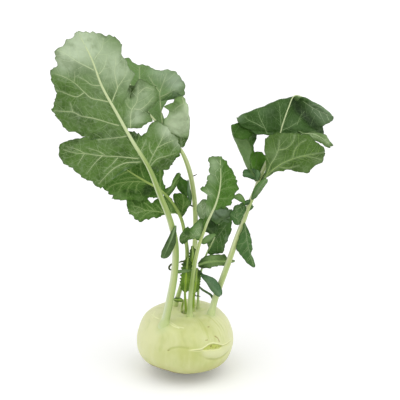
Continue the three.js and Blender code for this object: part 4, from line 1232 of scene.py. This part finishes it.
blade(
    "middle_blade", ["middle_leaf_blade"], MIDDLE_MIDRIB, blade_from=MIDDLE_BLADE_START,
    left=[
        (5.2, (15, -22, 150)), (5.6, (16, -21, 154)), (6.3, (17, -20, 160)), (7, (17, -20, 165)),
        (7.8, (18, -20, 170)), (8.3, (17, -20, 174)), (8.8, (13, -19, 178.5)), (9.4, (14.5, -19, 181)),
        (10, (17, -19, 182)), (10.6, (17.5, -20, 188)), (11.4, (19.3, -20, 194)),
        (12, (19.5, -18, 200)), (12.5, (19, -16, 206)),
    ],
    right=[
        (7.2, (27, -22, 164)), (7.6, (32, -21, 161)), (8, (37, -19, 162)), (8.4, (41, -18, 166)),
        (9, (43, -17, 172)), (9.6, (45, -16, 178)), (10.3, (44, -16, 184)), (11, (43, -16, 190)),
        (11.7, (38, -16, 197)), (12.4, (35, -15, 204)),
    ],
    veins=[
        [(29, 186), (26, 192), (25, 199)], [(28, 178), (24, 182), (20, 186)],
        [(27, 172), (23, 176), (17, 178)], [(22, 157), (19, 161), (18, 167)],
        [(29, 179), (34, 181), (43, 180)], [(30, 188), (33, 194), (38, 196)],
        [(28, 173), (32, 172), (39, 171)], [(29, 182), (35, 188), (42, 188)],
    ],
    bloom=[(19, 175, 6, 0.7), (22, 190, 7, 0.7), (25, 202, 6, 0.95), (18, 160, 6, 0.75)],
    deep=[(39, 194, 4, 0.4), (42, 184, 4, 0.25), (34, 168, 5, 0.2)],
    finish=middle_skin, vein_finish=middle_vein, vein_width=(0.3, 0.13), columns=24, teeth=1.3,
    ruffle=(0.8, 8), twigs=6, seed=17.0,
)
blue_skin = leaf_finish("waxy_blue_leaf", near="4c7247", far="3f5f35", pale="8ca588", vein="8aa27a")
blade(
    "middle_left_lobe", ["middle_leaf_left_lobe"],
    [(14, -22, 138), (8, -24, 139), (2, -25, 138), (-5, -25, 134)],
    left=[
        (0.4, (11, -23, 133)), (1, (8, -24, 135)), (1.6, (5, -25, 135)), (2.1, (1, -25, 131)),
        (2.6, (-2, -25, 130)),
    ],
    right=[
        (0.3, (16, -21, 153)), (0.7, (11, -21, 151)), (1.2, (7, -23, 147)), (1.6, (4, -24, 145)),
        (2, (1, -24, 147)), (2.4, (-2, -24, 144)), (2.8, (-5, -25, 138)),
    ],
    veins=[
        [(15, 138), (10, 139), (5, 138), (0, 137)], [(16, 144), (12, 145), (7, 144)],
        [(10, 139), (7, 136), (5, 135)],
    ],
    bloom=[(-3, 139, 5, 0.35), (13, 146, 6, 0.5), (9, 139, 6, 0.45)],
    deep=[(1, 141, 4.5, 0.75), (-2, 133, 5, 0.6)], folds=[([(3, 145), (2, 138), (0, 132)], 1.6, 1.2)],
    finish=middle_skin, vein_finish=middle_vein, vein_width=(0.4, 0.16), columns=14, teeth=1.0, twigs=5,
    seed=18.0,
)
blade(
    "green_lobe_behind_left_edge", [], [(14.5, -21, 139), (16, -11, 147), (15, -8, 158), (16, -8, 166)],
    left=[(1.3, (12, -8, 148)), (1.6, (10.5, -8, 152)), (2, (9.5, -8, 158)), (2.6, (12.5, -8, 164))],
    right=[(1.4, (21, -8, 152)), (1.9, (22, -8, 158)), (2.5, (20, -8, 164))],
    veins=[[(15, 152), (14, 158), (14, 164)]],
    bloom=[(15, 157, 12, 1.0)],
    finish=middle_skin, vein_finish=middle_vein, vein_width=(0.3, 0.15), columns=6, teeth=0.7,
    ruffle=(0.4, 6), seed=66.0,
)
blade(
    "arm_from_right_edge", [], [(42, -16.5, 172), (46, -12, 171), (49, -9, 167), (51, -4, 160)],
    left=[(0.8, (46, -12, 173)), (1.6, (49.5, -10, 170)), (2.4, (52, -6, 163))],
    right=[(0.8, (43, -13, 168)), (1.6, (46.5, -10, 165)), (2.4, (50, -6, 162))],
    bloom=[(47, 170, 5, 0.4)], finish=middle_skin, columns=6, teeth=0.3, ruffle=(0.3, 8), seed=67.0,
)
blade(
    "middle_right_lobe", ["middle_leaf_right_lobe"], [(13, -20, 131), (18, -20, 133), (26, -18, 137)],
    left=[(0.6, (17, -20, 136)), (1.2, (21, -19, 138)), (1.7, (25, -18, 138.5))],
    right=[(0.5, (16, -20, 129)), (1.1, (21, -19, 131)), (1.6, (25, -18, 135))],
    bloom=[(20, 135, 9, 0.45)], finish=middle_skin, columns=8, teeth=0.5, ruffle=(0.4, 9), seed=19.0,
)
blade(
    "middle_lower_leaflet", ["middle_leaf_lower_leaflet"],
    [(6, -17, 104), (2, -16, 102.5), (-4, -16, 101.5), (-9, -16, 101.5)],
    left=[(0.7, (3, -15, 101.5)), (1.3, (-1, -14, 100)), (2, (-5, -14, 99.5)), (2.6, (-8, -15, 100.5))],
    right=[(0.7, (2, -15, 103.5)), (1.4, (-2, -14, 103.5)), (2.4, (-8, -14, 102.5))],
    bloom=[(-2, 102, 8, 0.55)], finish=middle_skin, columns=8, teeth=0.4, ruffle=(0.3, 9), seed=20.0,
)

# ---------------------------------------------------------------------------------------------
# The right leaf: a long slanting stalk whose blade has flopped over backward, so that its dark
# upper side faces the front under a bent ridge. A broad lobe shows its pale underside below it, a
# boat-shaped one stands on the left, and small leaflets sit along the stalk.
# ---------------------------------------------------------------------------------------------
RIGHT_MIDRIB = [
    (20, -11, 49), (26.5, -5, 73), (32.5, -3, 90), (39.2, -1, 109), (44.6, 0, 126), (50.5, 2, 142),
    (55.2, 4, 156), (60.7, 6, 169), (65, 8, 181), (70, 11, 192), (76, 14, 204), (82, 18, 216),
    (85, 21, 226), (90, 26, 239.3), (95.3, 33, 248.4), (104.5, 41, 245.2), (112.5, 47, 237),
    (116, 50, 224),
]
RIGHT_BLADE_START = 10.6
right_peel = stalk_finish("right_stalk_peel", green="b3c57e", pale="d8e2a8")
stalk("right_stalk", "right_leaf_stalk", RIGHT_MIDRIB, radii=(4.4, 2.4), blade_from=RIGHT_BLADE_START,
      outward=(-0.4, -0.8, 0.3), finish=right_peel, waist=0.55, sunny=0.8, seed=21.0)
dark_skin = leaf_finish("right_leaf_upper_side", near="36581c", far="6e8a52", pale="78926c",
                        vein="7d9a66", roughness=0.48)
dark_vein = vein_skin("right_vein", "93ad76", thin="64814c")
RIDGE = 14.2  # where on the midrib the blade is bent over
blade(
    "right_blade", ["right_leaf_blade"], RIGHT_MIDRIB, blade_from=RIGHT_BLADE_START,
    left=[
        (10.8, (74, 16, 216)), (10.95, (71, 14, 218)), (11.1, (63, 12, 220)), (11.25, (55, 12, 223)),
        (11.4, (50, 10, 225)), (11.7, (45, 9, 230)), (12.2, (44, 9, 233)), (13, (44, 9, 234)),
        (13.8, (45, 11, 235)), (RIDGE, (46, 14, 234), (77, 27, 245)),
        (15, (56, 34, 226), (80, 40, 241)), (16, (76, 46, 218), (94, 50, 234)), (16.6, (98, 54, 214)),
    ],
    right=[
        (10.8, (92, 20, 216)), (11, (106, 24, 216)), (11.2, (118, 28, 216)), (11.4, (124, 31, 216)),
        (11.7, (123, 32, 219)), (12.1, (122, 34, 222), (104, 30, 223)),
        (12.6, (125, 36, 222), (104, 37, 228)), (13.1, (129, 37, 223), (107, 42, 232)),
        (13.7, (131, 38, 226), (113, 45, 234.5)), (14.3, (131, 39, 228.5), (117, 43, 237)),
        (15, (129, 43, 228), (118, 45, 238.5)), (15.6, (127, 52, 221), (118, 52, 234)),
        (16.3, (122, 57, 214), (118, 56, 226)),
    ],
    veins=[
        [(84, 221), (83, 229), (82, 240), (81, 247)], [(71, 219), (68, 226), (65, 232), (62, 241)],
        [(68, 224), (60, 229), (54, 232), (50, 236)], [(85, 221), (91, 223), (97, 225), (102, 226)],
        [(98, 224), (102, 229), (106, 232)], [(104, 242), (113, 235), (121, 231), (129, 228)],
    ],
    bloom=[
        (126, 228, 8, 0.75), (113, 238, 7, 0.55), (120, 232, 7, 0.6), (72, 238, 8, 0.3),
        (47, 233, 5, 0.5),
    ],
    deep=[
        (99, 241, 5, 0.8), (92, 244, 5, 0.4), (117, 221, 6, 0.5), (78, 222, 6, 0.3), (76, 236, 9, 0.45),
    ],
    folds=[([(97, 243), (101, 236), (106, 230), (112, 225), (121, 218)], 4.2, 2.4)],
    finish=dark_skin, vein_finish=dark_vein, vein_width=(0.5, 0.16), raised=0.2, columns=34, teeth=0.8,
    ruffle=(0.6, 12), twigs=7, seed=23.0,
)
flap_skin = leaf_finish("right_leaf_underside", near="4b6b26", far="3a5a2a", pale="8da873", net=0.09)
blade(
    "right_front_lobe", ["right_leaf_front_lobe"],
    [(65, 4, 178), (72, 1, 186), (83, -3, 196), (92, -6, 202), (104, -8, 206), (119, -6, 208)],
    left=[
        (0.25, (70, 3, 190)), (0.5, (72, 2, 197)), (0.8, (69, 2, 203)), (1.05, (68, 2, 209)),
        (1.3, (69, 3, 217)), (1.7, (76, 4, 222)), (2.1, (84, 4, 223)), (2.6, (95, 3, 222)),
        (3.2, (106, 1, 221)), (3.7, (113, -1, 216)), (4.4, (119, -4, 212)),
    ],
    right=[
        (0.4, (71, 2, 183)), (0.8, (78, 0, 187)), (1.4, (86, -3, 191)), (2, (92, -4, 191)),
        (2.5, (98, -4, 189)), (3, (105, -5, 188)), (3.4, (109, -5, 192)), (3.9, (116, -5, 197)),
        (4.5, (120, -5, 203)),
    ],
    veins=[
        [(68, 182), (77, 192), (83, 197), (90, 201), (100, 205), (112, 207)],
        [(70, 184), (74, 196), (77, 201), (80, 208), (81, 216)],
        [(80, 208), (87, 210), (93, 216), (94, 220)], [(92, 202), (94, 209), (98, 214), (103, 217)],
        [(81, 194), (88, 193), (97, 196)], [(100, 205), (108, 204), (117, 201)],
    ],
    bloom=[(76, 204, 9, 0.4), (86, 219, 8, 0.3), (114, 199, 6, 0.4), (103, 191, 5, 0.3)], deep=[
        (97, 216, 7, 0.3), (82, 213, 8, 0.4), (117, 207, 5, 0.35), (92, 193, 6, 0.25),
        (110, 202, 5, 0.2),
    ],
    finish=flap_skin, vein_finish=lit_vein, vein_width=(0.46, 0.15), columns=24, ruffle=(0.6, 12),
    twigs=11, seed=24.0,
)
blade(
    "right_far_flap", [],
    [(99, 24, 219), (106.3, 22, 215.7), (112.6, 23, 214), (119.6, 24, 211), (127.4, 22, 205.7)],
    left=[
        (1.5, (110.8, 26, 216.5)), (2.1, (119.2, 29.5, 216)), (2.8, (126.2, 30, 213.5)),
        (3.2, (126.8, 26, 210.4)), (3.7, (130.4, 22, 206.7)),
    ],
    right=[
        (1.4, (109.4, 20, 213.7)), (2.1, (114.4, 20, 210.7)), (2.7, (118.4, 20, 208.7)),
        (3.2, (122.3, 20, 206)), (3.7, (126.3, 21, 204)),
    ],
    veins=[[(105, 217), (112, 216), (119, 213), (126, 208)]],
    bloom=[(112, 217, 6, 0.6), (126, 211, 8, 0.6)],
    finish=flap_skin, vein_finish=pale_vein, vein_width=(0.4, 0.2), columns=8, teeth=0.8,
    ruffle=(0.4, 8), seed=64.0,
)
boat_skin = leaf_finish("boat_lobe", near="4d7d1e", far="6b8a52", pale="8ea873", vein="7f9c5a")
blade(
    "right_left_lobe", ["right_leaf_left_lobe"],
    [(61, 6, 178), (56.3, 5, 186), (51.2, 6, 196), (46.2, 8, 207), (41.3, 10, 217), (39.5, 13, 227)],
    left=[
        (0.4, (62, 1, 184)), (1, (58, -1, 190)), (1.7, (56, -2, 199)), (2.3, (57, -2, 208)),
        (2.8, (57, -2, 213)), (3.2, (53, -1, 218)), (3.6, (48, 0, 218)), (4.1, (43, 4, 219)),
    ],
    right=[
        (0.3, (68, 10, 184)), (0.8, (71, 13, 192)), (1.3, (70, 16, 198)), (1.7, (67, 17, 202)),
        (2.1, (61, 17, 202)), (2.5, (60, 17, 206)), (3, (62, 17, 213)), (3.5, (63, 16, 221)),
        (4, (55, 14, 224)), (4.6, (47, 12, 229)),
    ],
    veins=[
        [(60, 184), (57, 194), (53, 204), (50, 211)],
        [(45.5, 217), (51, 216.6), (55.2, 213.8), (55.8, 208), (55, 200)],
    ],
    bloom=[(46, 215, 7, 0.1)], deep=[(48, 226, 12, 0.75), (61, 214, 7, 0.8), (70, 190, 5, 0.4)],
    finish=boat_skin, vein_finish=dark_vein, vein_width=(0.35, 0.14), columns=18, ruffle=(0.5, 10),
    seed=25.0,
)
blade(
    "right_small_lobe", ["right_leaf_small_lobe"],
    [(64, 7, 182), (60, 5, 184), (55, 3, 186), (50, 2, 186)],
    left=[(0.6, (60, 4, 180)), (1.3, (55, 3, 182)), (2.2, (51, 2, 183))],
    right=[(0.4, (63, 7, 188)), (0.9, (59, 6, 190)), (1.6, (55, 4, 190)), (2.3, (51, 2, 190))],
    finish=dim_skin, columns=8, teeth=0.4, ruffle=(0.3, 9), seed=26.0,
)
blade(
    "right_curl_on_stalk", [], [(63, 6, 179), (62.5, 1, 183), (63, 0, 187), (62, 1, 190)],
    left=[(0.8, (60.3, 1, 183)), (1.8, (60.3, 1, 188))],
    right=[(0.8, (64.2, 0, 182)), (1.8, (65.3, 1, 186.5))],
    finish=dim_skin, columns=6, teeth=0.3, ruffle=(0.3, 9), seed=65.0,
)
blade(
    "right_clasping_leaflet", ["right_leaf_clasping_leaflet"],
    [(58, 3, 162.5), (62, -2, 171), (66, -3, 178), (70, -3, 183)],
    left=[(0.5, (58, -1, 169)), (1.2, (61, -2, 177)), (2.2, (67, -3, 183))],
    right=[(0.5, (61.5, -3, 166.5)), (1.2, (66.3, -4, 173.5)), (2.2, (71, -4, 180.5))],
    bloom=[(66, 170, 6, 0.6), (70, 181, 5, 0.3)], folds=[([(60, 167), (63, 173), (68, 180)], 1.2, 0.7)],
    finish=leaf_finish("clasping_leaflet_skin", near="527c38", far="3a5a2c", pale="9cb488"), columns=8,
    teeth=0.4, ruffle=(0.4, 9), seed=27.0,
)
leaflet_skin = leaf_finish("leaflet_upper_side", near="486f36", far="5d7a46", pale="86a07c",
                           vein="7f9a68")
leaflet_vein = vein_skin("leaflet_vein", "86a070")
blade(
    "right_left_leaflet", ["right_leaf_left_leaflet"],
    [(47, 0, 140), (46, -3, 146), (45, -4, 152), (46.5, -5, 160)],
    left=[
        (0.5, (42.5, -4, 142)), (1, (40, -4, 147)), (1.6, (38, -4, 151)), (2.1, (41, -4, 155)),
        (2.6, (43, -4, 159)),
    ],
    right=[(0.6, (49, -3, 145)), (1.2, (51, -4, 151)), (1.8, (53, -5, 157)), (2.5, (50, -5, 161.5))],
    veins=[
        [(47, 141), (45, 147), (44, 153), (45, 159)], [(45, 147), (42, 149), (40, 151)],
        [(45, 149), (49, 154), (51, 158)],
    ],
    deep=[(50, 159, 3, 0.5)],
    finish=leaflet_skin, vein_finish=leaflet_vein, vein_width=(0.3, 0.15), columns=12, teeth=0.9,
    twigs=6, seed=28.0,
)
blade(
    "dark_tip_by_right_stalk", [], [(50, -1, 159), (53, 1, 161), (56.5, 3, 162)],
    left=[(1, (53, 0, 162.5))],
    right=[(0.6, (52, 0, 158)), (1.5, (55.5, 0, 159))],
    deep=[(54, 160, 5, 0.5)], finish=dim_skin, columns=4, teeth=0.3, ruffle=(0.2, 8), seed=68.0,
)
blade(
    "lobe_right_of_right_stalk", [], [(53, 5, 150), (56, 5, 153), (59, 5, 156)],
    left=[(0.6, (53, 5, 154)), (1.4, (56.5, 5, 158.5))],
    right=[(0.6, (56, 5, 151)), (1.4, (59, 5, 153.5))],
    finish=leaflet_skin, columns=4, teeth=0.5, ruffle=(0.2, 8), seed=69.0,
)
blade(
    "right_hanging_leaflet", ["right_leaf_hanging_leaflet"],
    [(51.5, 0, 142), (53, -5, 134), (54.5, -6, 124), (57, -6, 114), (60.5, -6, 102.5)],
    left=[
        (0.5, (55, -5, 137)), (1.2, (57.5, -6, 130)), (2, (59, -6, 120)), (2.7, (58.5, -6, 113)),
        (3.3, (60.5, -6, 108)), (3.7, (61.5, -6, 104.5)),
    ],
    right=[
        (0.5, (49.5, -5, 136)), (1, (46, -5, 128)), (1.6, (44.5, -5, 121)), (2.2, (45.5, -5, 117)),
        (2.8, (49, -6, 112.5)), (3.4, (53, -6, 106.5)), (3.8, (58, -6, 103)),
    ],
    veins=[
        [(52, 141), (53, 134), (54.5, 124), (57, 114), (60, 104)], [(54, 128), (50, 124), (48, 120)],
        [(55, 120), (52, 116), (50, 114)],
    ],
    finish=leaflet_skin, vein_finish=leaflet_vein, vein_width=(0.35, 0.15), columns=12, teeth=0.5,
    ruffle=(0.5, 12), seed=29.0,
)

# ---------------------------------------------------------------------------------------------
# The small leaf: thin-stalked and crumpled, dark and blue with wax, in the middle behind the rest.
# Its lower lobe reaches right, and two leaflets hang off its stalk, one broad and one rolled.
# ---------------------------------------------------------------------------------------------
SMALL_MIDRIB = [
    (11, 4, 48), (11, 6, 75), (13, 8, 90), (18, 12, 107), (25, 16, 121), (30, 18, 136), (35, 20, 150),
]
SMALL_BLADE_START = 3.1
small_peel = stalk_finish("small_stalk_peel", green="98b864", pale="b4cc86")
stalk("small_stalk", "small_leaf_stalk", SMALL_MIDRIB, radii=(1.8, 1.2), blade_from=SMALL_BLADE_START,
      finish=small_peel, seed=31.0)
small_skin = leaf_finish("small_leaf_skin", near="4c7232", far="3f5f35", pale="8fa68a", vein="7f9a68")
blade(
    "small_blade", ["small_leaf_blade"], SMALL_MIDRIB, blade_from=SMALL_BLADE_START,
    left=[
        (3.3, (20, 10, 109)), (3.5, (20, 11, 115)), (3.8, (21, 13, 121)), (4.1, (25, 15, 126)),
        (4.5, (23, 18, 133)), (5.2, (24, 20, 142)),
    ],
    right=[
        (3.2, (29, 10, 108)), (3.35, (34, 10, 109)), (3.6, (35, 11, 116)), (3.9, (38, 12, 123)),
        (4.3, (40, 13, 130)), (4.8, (41, 14, 138)), (5.4, (41, 16, 146)),
    ],
    veins=[
        [(36, 135), (31, 127), (25, 118)], [(30, 126), (32, 117), (33, 111)],
        [(28, 130), (26, 122), (23, 114)], [(35, 131), (36, 124), (34, 117)],
    ],
    bloom=[(38, 122, 3.5, 0.7), (36, 114, 3, 0.4), (31, 142, 7, 0.3)],
    deep=[(23, 132, 7, 0.9), (29, 124, 4, 0.3)],
    finish=small_skin, vein_finish=leaflet_vein, vein_width=(0.35, 0.15), columns=16, teeth=1.1,
    puff=1.4, wrinkle=1.2, seed=33.0,
)
blade(
    "small_crumpled_top", [], [(27, 16, 131), (25, 8, 139), (29, 3, 143), (35, 2, 148), (41, 4, 152)],
    left=[
        (1.3, (22, 5, 144)), (1.9, (23, 4, 152)), (2.5, (28, 3, 155)), (3.1, (33, 3, 153.5)),
        (3.6, (38, 4, 153)),
    ],
    right=[(1.5, (29, 5, 138)), (2.2, (35, 4, 137)), (2.8, (40, 5, 139)), (3.5, (39, 5, 146))],
    bloom=[(28, 151, 6, 0.75), (36, 152, 6, 0.6), (36, 141, 5, 0.35), (25, 146, 4, 0.4)],
    deep=[(36, 146, 3, 0.5), (30, 144, 3, 0.45)], folds=[
        ([(26, 149), (32, 146), (38, 148)], 1.5, -1.5), ([(30, 141), (35, 143), (39, 142)], 1.3, 1.4),
    ],
    finish=small_skin, columns=14, teeth=0.8, ruffle=(1.2, 7), puff=1.2, wrinkle=2.0, seed=70.0,
)
# a piece of the small leaf in its hollow, painted nearly black-green as shade
blade(
    "small_pocket_in_painted_shade", [], [(27, 14, 124), (22, 8, 132), (17, 8, 137), (16, 8, 142)],
    left=[(0.6, (21, 8, 128)), (1.4, (16, 8, 131)), (2.3, (14, 8, 137))],
    right=[(0.5, (29, 8, 134)), (1.2, (28, 8, 139)), (2, (22, 8, 143))],
    deep=[(21, 135, 12, 1.0)], finish=small_skin, columns=8, teeth=0.4, ruffle=(0.5, 7), seed=71.0,
)
blade(
    "small_lower_lobe", ["small_leaf_lower_lobe"],
    [(11, 9, 99), (18, 8, 101.5), (27, 9, 102), (36, 10, 102), (44, 11, 101.5)],
    left=[
        (0.3, (12, 8, 96.5)), (0.8, (17, 7, 96)), (1.5, (23, 8, 96)), (2.2, (30, 9, 97)),
        (3, (37, 10, 98.5)), (3.6, (40, 10, 100)),
    ],
    right=[
        (0.4, (12, 8, 103)), (0.8, (15, 8, 106)), (1.3, (20, 8, 108)), (2, (27, 9, 108.5)),
        (2.7, (34, 10, 109)), (3.3, (38, 10, 104.5)),
    ],
    veins=[
        [(13, 99), (18, 101.5), (27, 102), (36, 102)], [(19, 102), (23, 105), (27, 107)],
        [(22, 102), (26, 99), (31, 98)],
    ],
    bloom=[(26, 103, 11, 0.75)], deep=[(11, 99, 5, 0.6), (36, 106, 5, 0.15)],
    finish=lower_skin, vein_finish=leaflet_vein, vein_width=(0.3, 0.15), columns=12, teeth=1.3, twigs=5,
    seed=34.0,
)
blade(
    "broad_blue_leaflet", ["blue_leaflet"],
    [(12, 6, 95), (17, -3, 91), (22, -8, 87), (27, -12, 82.5), (30.5, -13, 78)],
    left=[
        (0.5, (15, -2, 94.5)), (1, (19.5, -5, 94)), (1.8, (25.5, -9, 92)), (2.5, (29.7, -12, 88)),
        (3.2, (32.2, -13, 83)), (3.7, (32.2, -13, 79.5)),
    ],
    right=[
        (0.6, (14, -2, 91)), (1.3, (17.5, -5, 87.5)), (2, (20.5, -9, 83.5)), (2.7, (24.5, -12, 79.5)),
        (3.4, (28, -13, 77)),
    ],
    bloom=[(22, 88, 7, 0.35), (29, 79, 5, 0.3)],
    finish=blue_skin, columns=10, teeth=0.3, ruffle=(0.3, 10), seed=35.0,
)
blade(
    "rolled_dark_leaflet", ["curled_leaflet"],
    [(10, 6, 83), (14, -2, 80), (19, -3, 77), (22, -3, 74.5), (24, -3, 70)],
    left=[(0.7, (12, 0, 81.8)), (1.5, (17, -3, 79.2)), (2.4, (21, -3, 76.7)), (3.4, (24.4, -3, 73))],
    right=[(0.7, (12, 0, 80)), (1.5, (16, -3, 77.4)), (2.4, (20, -3, 75)), (3.4, (22.6, -3, 71.5))],
    deep=[(18, 77, 14, 0.5)], finish=small_skin, columns=8, teeth=0.3, ruffle=(0.2, 10), seed=36.0,
)

# ---------------------------------------------------------------------------------------------
# The leaflet on the front leaf's stalk: small, smooth-edged, dark green and darker still with painted
# shade, folded along its midrib.
# It grows straight out of the stalk, half way up, and hangs.
# ---------------------------------------------------------------------------------------------
blade(
    "front_leaflet", ["front_leaf_leaflet"], [(-8, -37, 152.5), (-12.5, -43, 141), (-19, -44, 126)],
    left=[(0.3, (-12, -41, 148)), (1, (-18.5, -44, 134)), (1.6, (-20.5, -45, 127))],
    right=[(0.4, (-7.5, -41, 147)), (1, (-9, -42, 136.5)), (1.6, (-14.5, -44, 126.5))],
    veins=[[(-10, 151), (-13, 141), (-18, 128)]],
    deep=[(-14, 140, 14, 0.8)],
    finish=leaflet_skin, vein_finish=leaflet_vein, vein_width=(0.4, 0.2), columns=12, teeth=0.4,
    ruffle=(0.4, 10), seed=38.0,
)

# ---------------------------------------------------------------------------------------------
# The young leaves in the middle of the crown: bright green and narrow, each on a thin stalk of
# its own, with small sharp teeth and a tip darkened by painted shade.
# ---------------------------------------------------------------------------------------------
YOUNG_LEAVES = {  # its foot, the base and tip of its blade, half its width, and the way it faces
    "young_leaf_1": ((0, 2, 50), (-1, -2, 76), (2, -6, 112), 4.8, (-0.2, -1, 0)),
    "young_leaf_2": ((6, 2, 50), (7, 1, 74), (10, 0, 99), 4.0, (0.3, -1, 0)),
    "young_leaf_3": ((2, 7, 50), (4, 2, 92), (6, 0, 120), 3.6, (0.6, -1, 0)),
    "young_leaf_4": ((-5, 3, 50), (-3, 0, 68), (-11, -4, 70.5), 2.2, (0, -0.8, 1)),
}
YOUNG_STALK_WIDTH = 1.9
YOUNG_BLADE_START = 2.6
YOUNG_TEETH = 9
TOOTH_OUT = 1.18
TOOTH_IN = 0.82
young_skin = leaf_finish("young_leaf_skin", near="628d22", far="5c8226", pale="9cbb3c", vein="a9c468",
                         blotch=0.5, roughness=0.45)


def toothed(midrib, across, half):
    """A young leaf's side ribs, long to each tooth and short between."""
    at = route(midrib)
    ribs = []
    for k in range(2 * YOUNG_TEETH + 1):
        along = 0.06 + 0.86 * k / (2 * YOUNG_TEETH)
        width = half * min(1.0, 1.5 * math.sin(math.pi * (0.08 + 0.86 * along)))
        width *= TOOTH_OUT if k % 2 else TOOTH_IN
        ribs.append((along * 2, tuple(at(along * 2)[0] + across * width)))
    return ribs


for number, (young, (foot, base, tip, half, face)) in enumerate(YOUNG_LEAVES.items()):
    foot, base, tip, face = (np.array(v, float) for v in (foot, base, tip, face))
    face = face / np.linalg.norm(face)
    middle = (base + tip) / 2 + face * 0.3 * half
    across = np.cross(tip - base, face)
    across /= np.linalg.norm(across)
    low = middle + (base - middle) * 0.5
    high = middle + (tip - middle) * 0.5
    peel = stalk_finish(young + "_peel", green="7f9f2c", pale="a4c434", foot="8aa548", high="a2c430")
    stalk(young + "_petiole", young + "_stalk", [foot, (foot + base) / 2, base, low, middle, high],
          radii=(YOUNG_STALK_WIDTH, half * 0.3), blade_from=YOUNG_BLADE_START, finish=peel,
          outward=face, seed=41.0 + number)
    midrib = [base, middle, tip]
    wax_and_highlight_place = base * 0.6 + tip * 0.4
    # painted shade darkens each tip
    blade(
        young + "_leaf", [young + "_blade"], midrib,
        left=toothed(midrib, across, half), right=toothed(midrib, -across, half),
        bloom=[(wax_and_highlight_place[0], wax_and_highlight_place[2], 5, 0.4)], deep=[(tip[0], tip[2], half * 2.6, 1.2)],
        finish=young_skin, columns=8, teeth=0.4, ruffle=(0.7, 5), puff=0.5,
        wrinkle=0.9, step=1.2, seed=51.0 + number,
    )

# ---------------------------------------------------------------------------------------------
# The withered scraps: all that is left of the smallest leaves, dried to curled threads and
# scales on the stalks.
# ---------------------------------------------------------------------------------------------
SCRAPS = {  # its middle line and how thick it is
    "curl_by_front_stalk": ([(-9, -28, 114), (-12, -27, 113.3), (-14, -27, 111.3), (-14.3, -27, 109.3),
                             (-13, -27, 108.1), (-12, -27, 108.5)], 0.9),
    "hook_on_young_leaf": ([(-6, -8, 107.5), (-4, -8, 108.5), (-1, -7, 108)], 0.8),
    "thread_low": ([(6, 2, 74), (8, 3, 72), (9, 3, 71), (11, 3, 71), (13, 3, 70)], 0.45),
    "thread_branch": ([(7, 2, 69.5), (8, 3, 71.5), (8, 3, 73.5)], 0.45),
    "scale_on_back_stalk": ([(4, 24, 177), (8, 25, 178), (10, 26, 179)], 0.45),
    "second_scale_on_back_stalk": ([(2.5, 18, 152.8), (4.5, 18, 152), (6.5, 18, 151)], 0.8),
}
SCRAP_SIDES = 8
SCRAP_RING_GAP = 0.5
withered_skin = leaf_finish("withered_skin", near="55602c", far="3f4c26", pale="6f7d4a", blotch=0.5)
for scrap, (line, thick) in SCRAPS.items():
    at = route(line)
    places = even_places(at, len(line) - 1, SCRAP_RING_GAP)
    radius = thick * (0.35 + 0.65 * np.sin(np.linspace(0.25, 2.9, len(places))))
    outside = np.ones((len(places), SCRAP_SIDES))
    piece = ring_tube(scrap, at(places), radius, SCRAP_SIDES, near_face=outside)
    piece.data.materials.append(withered_skin)
    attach(piece, "root")
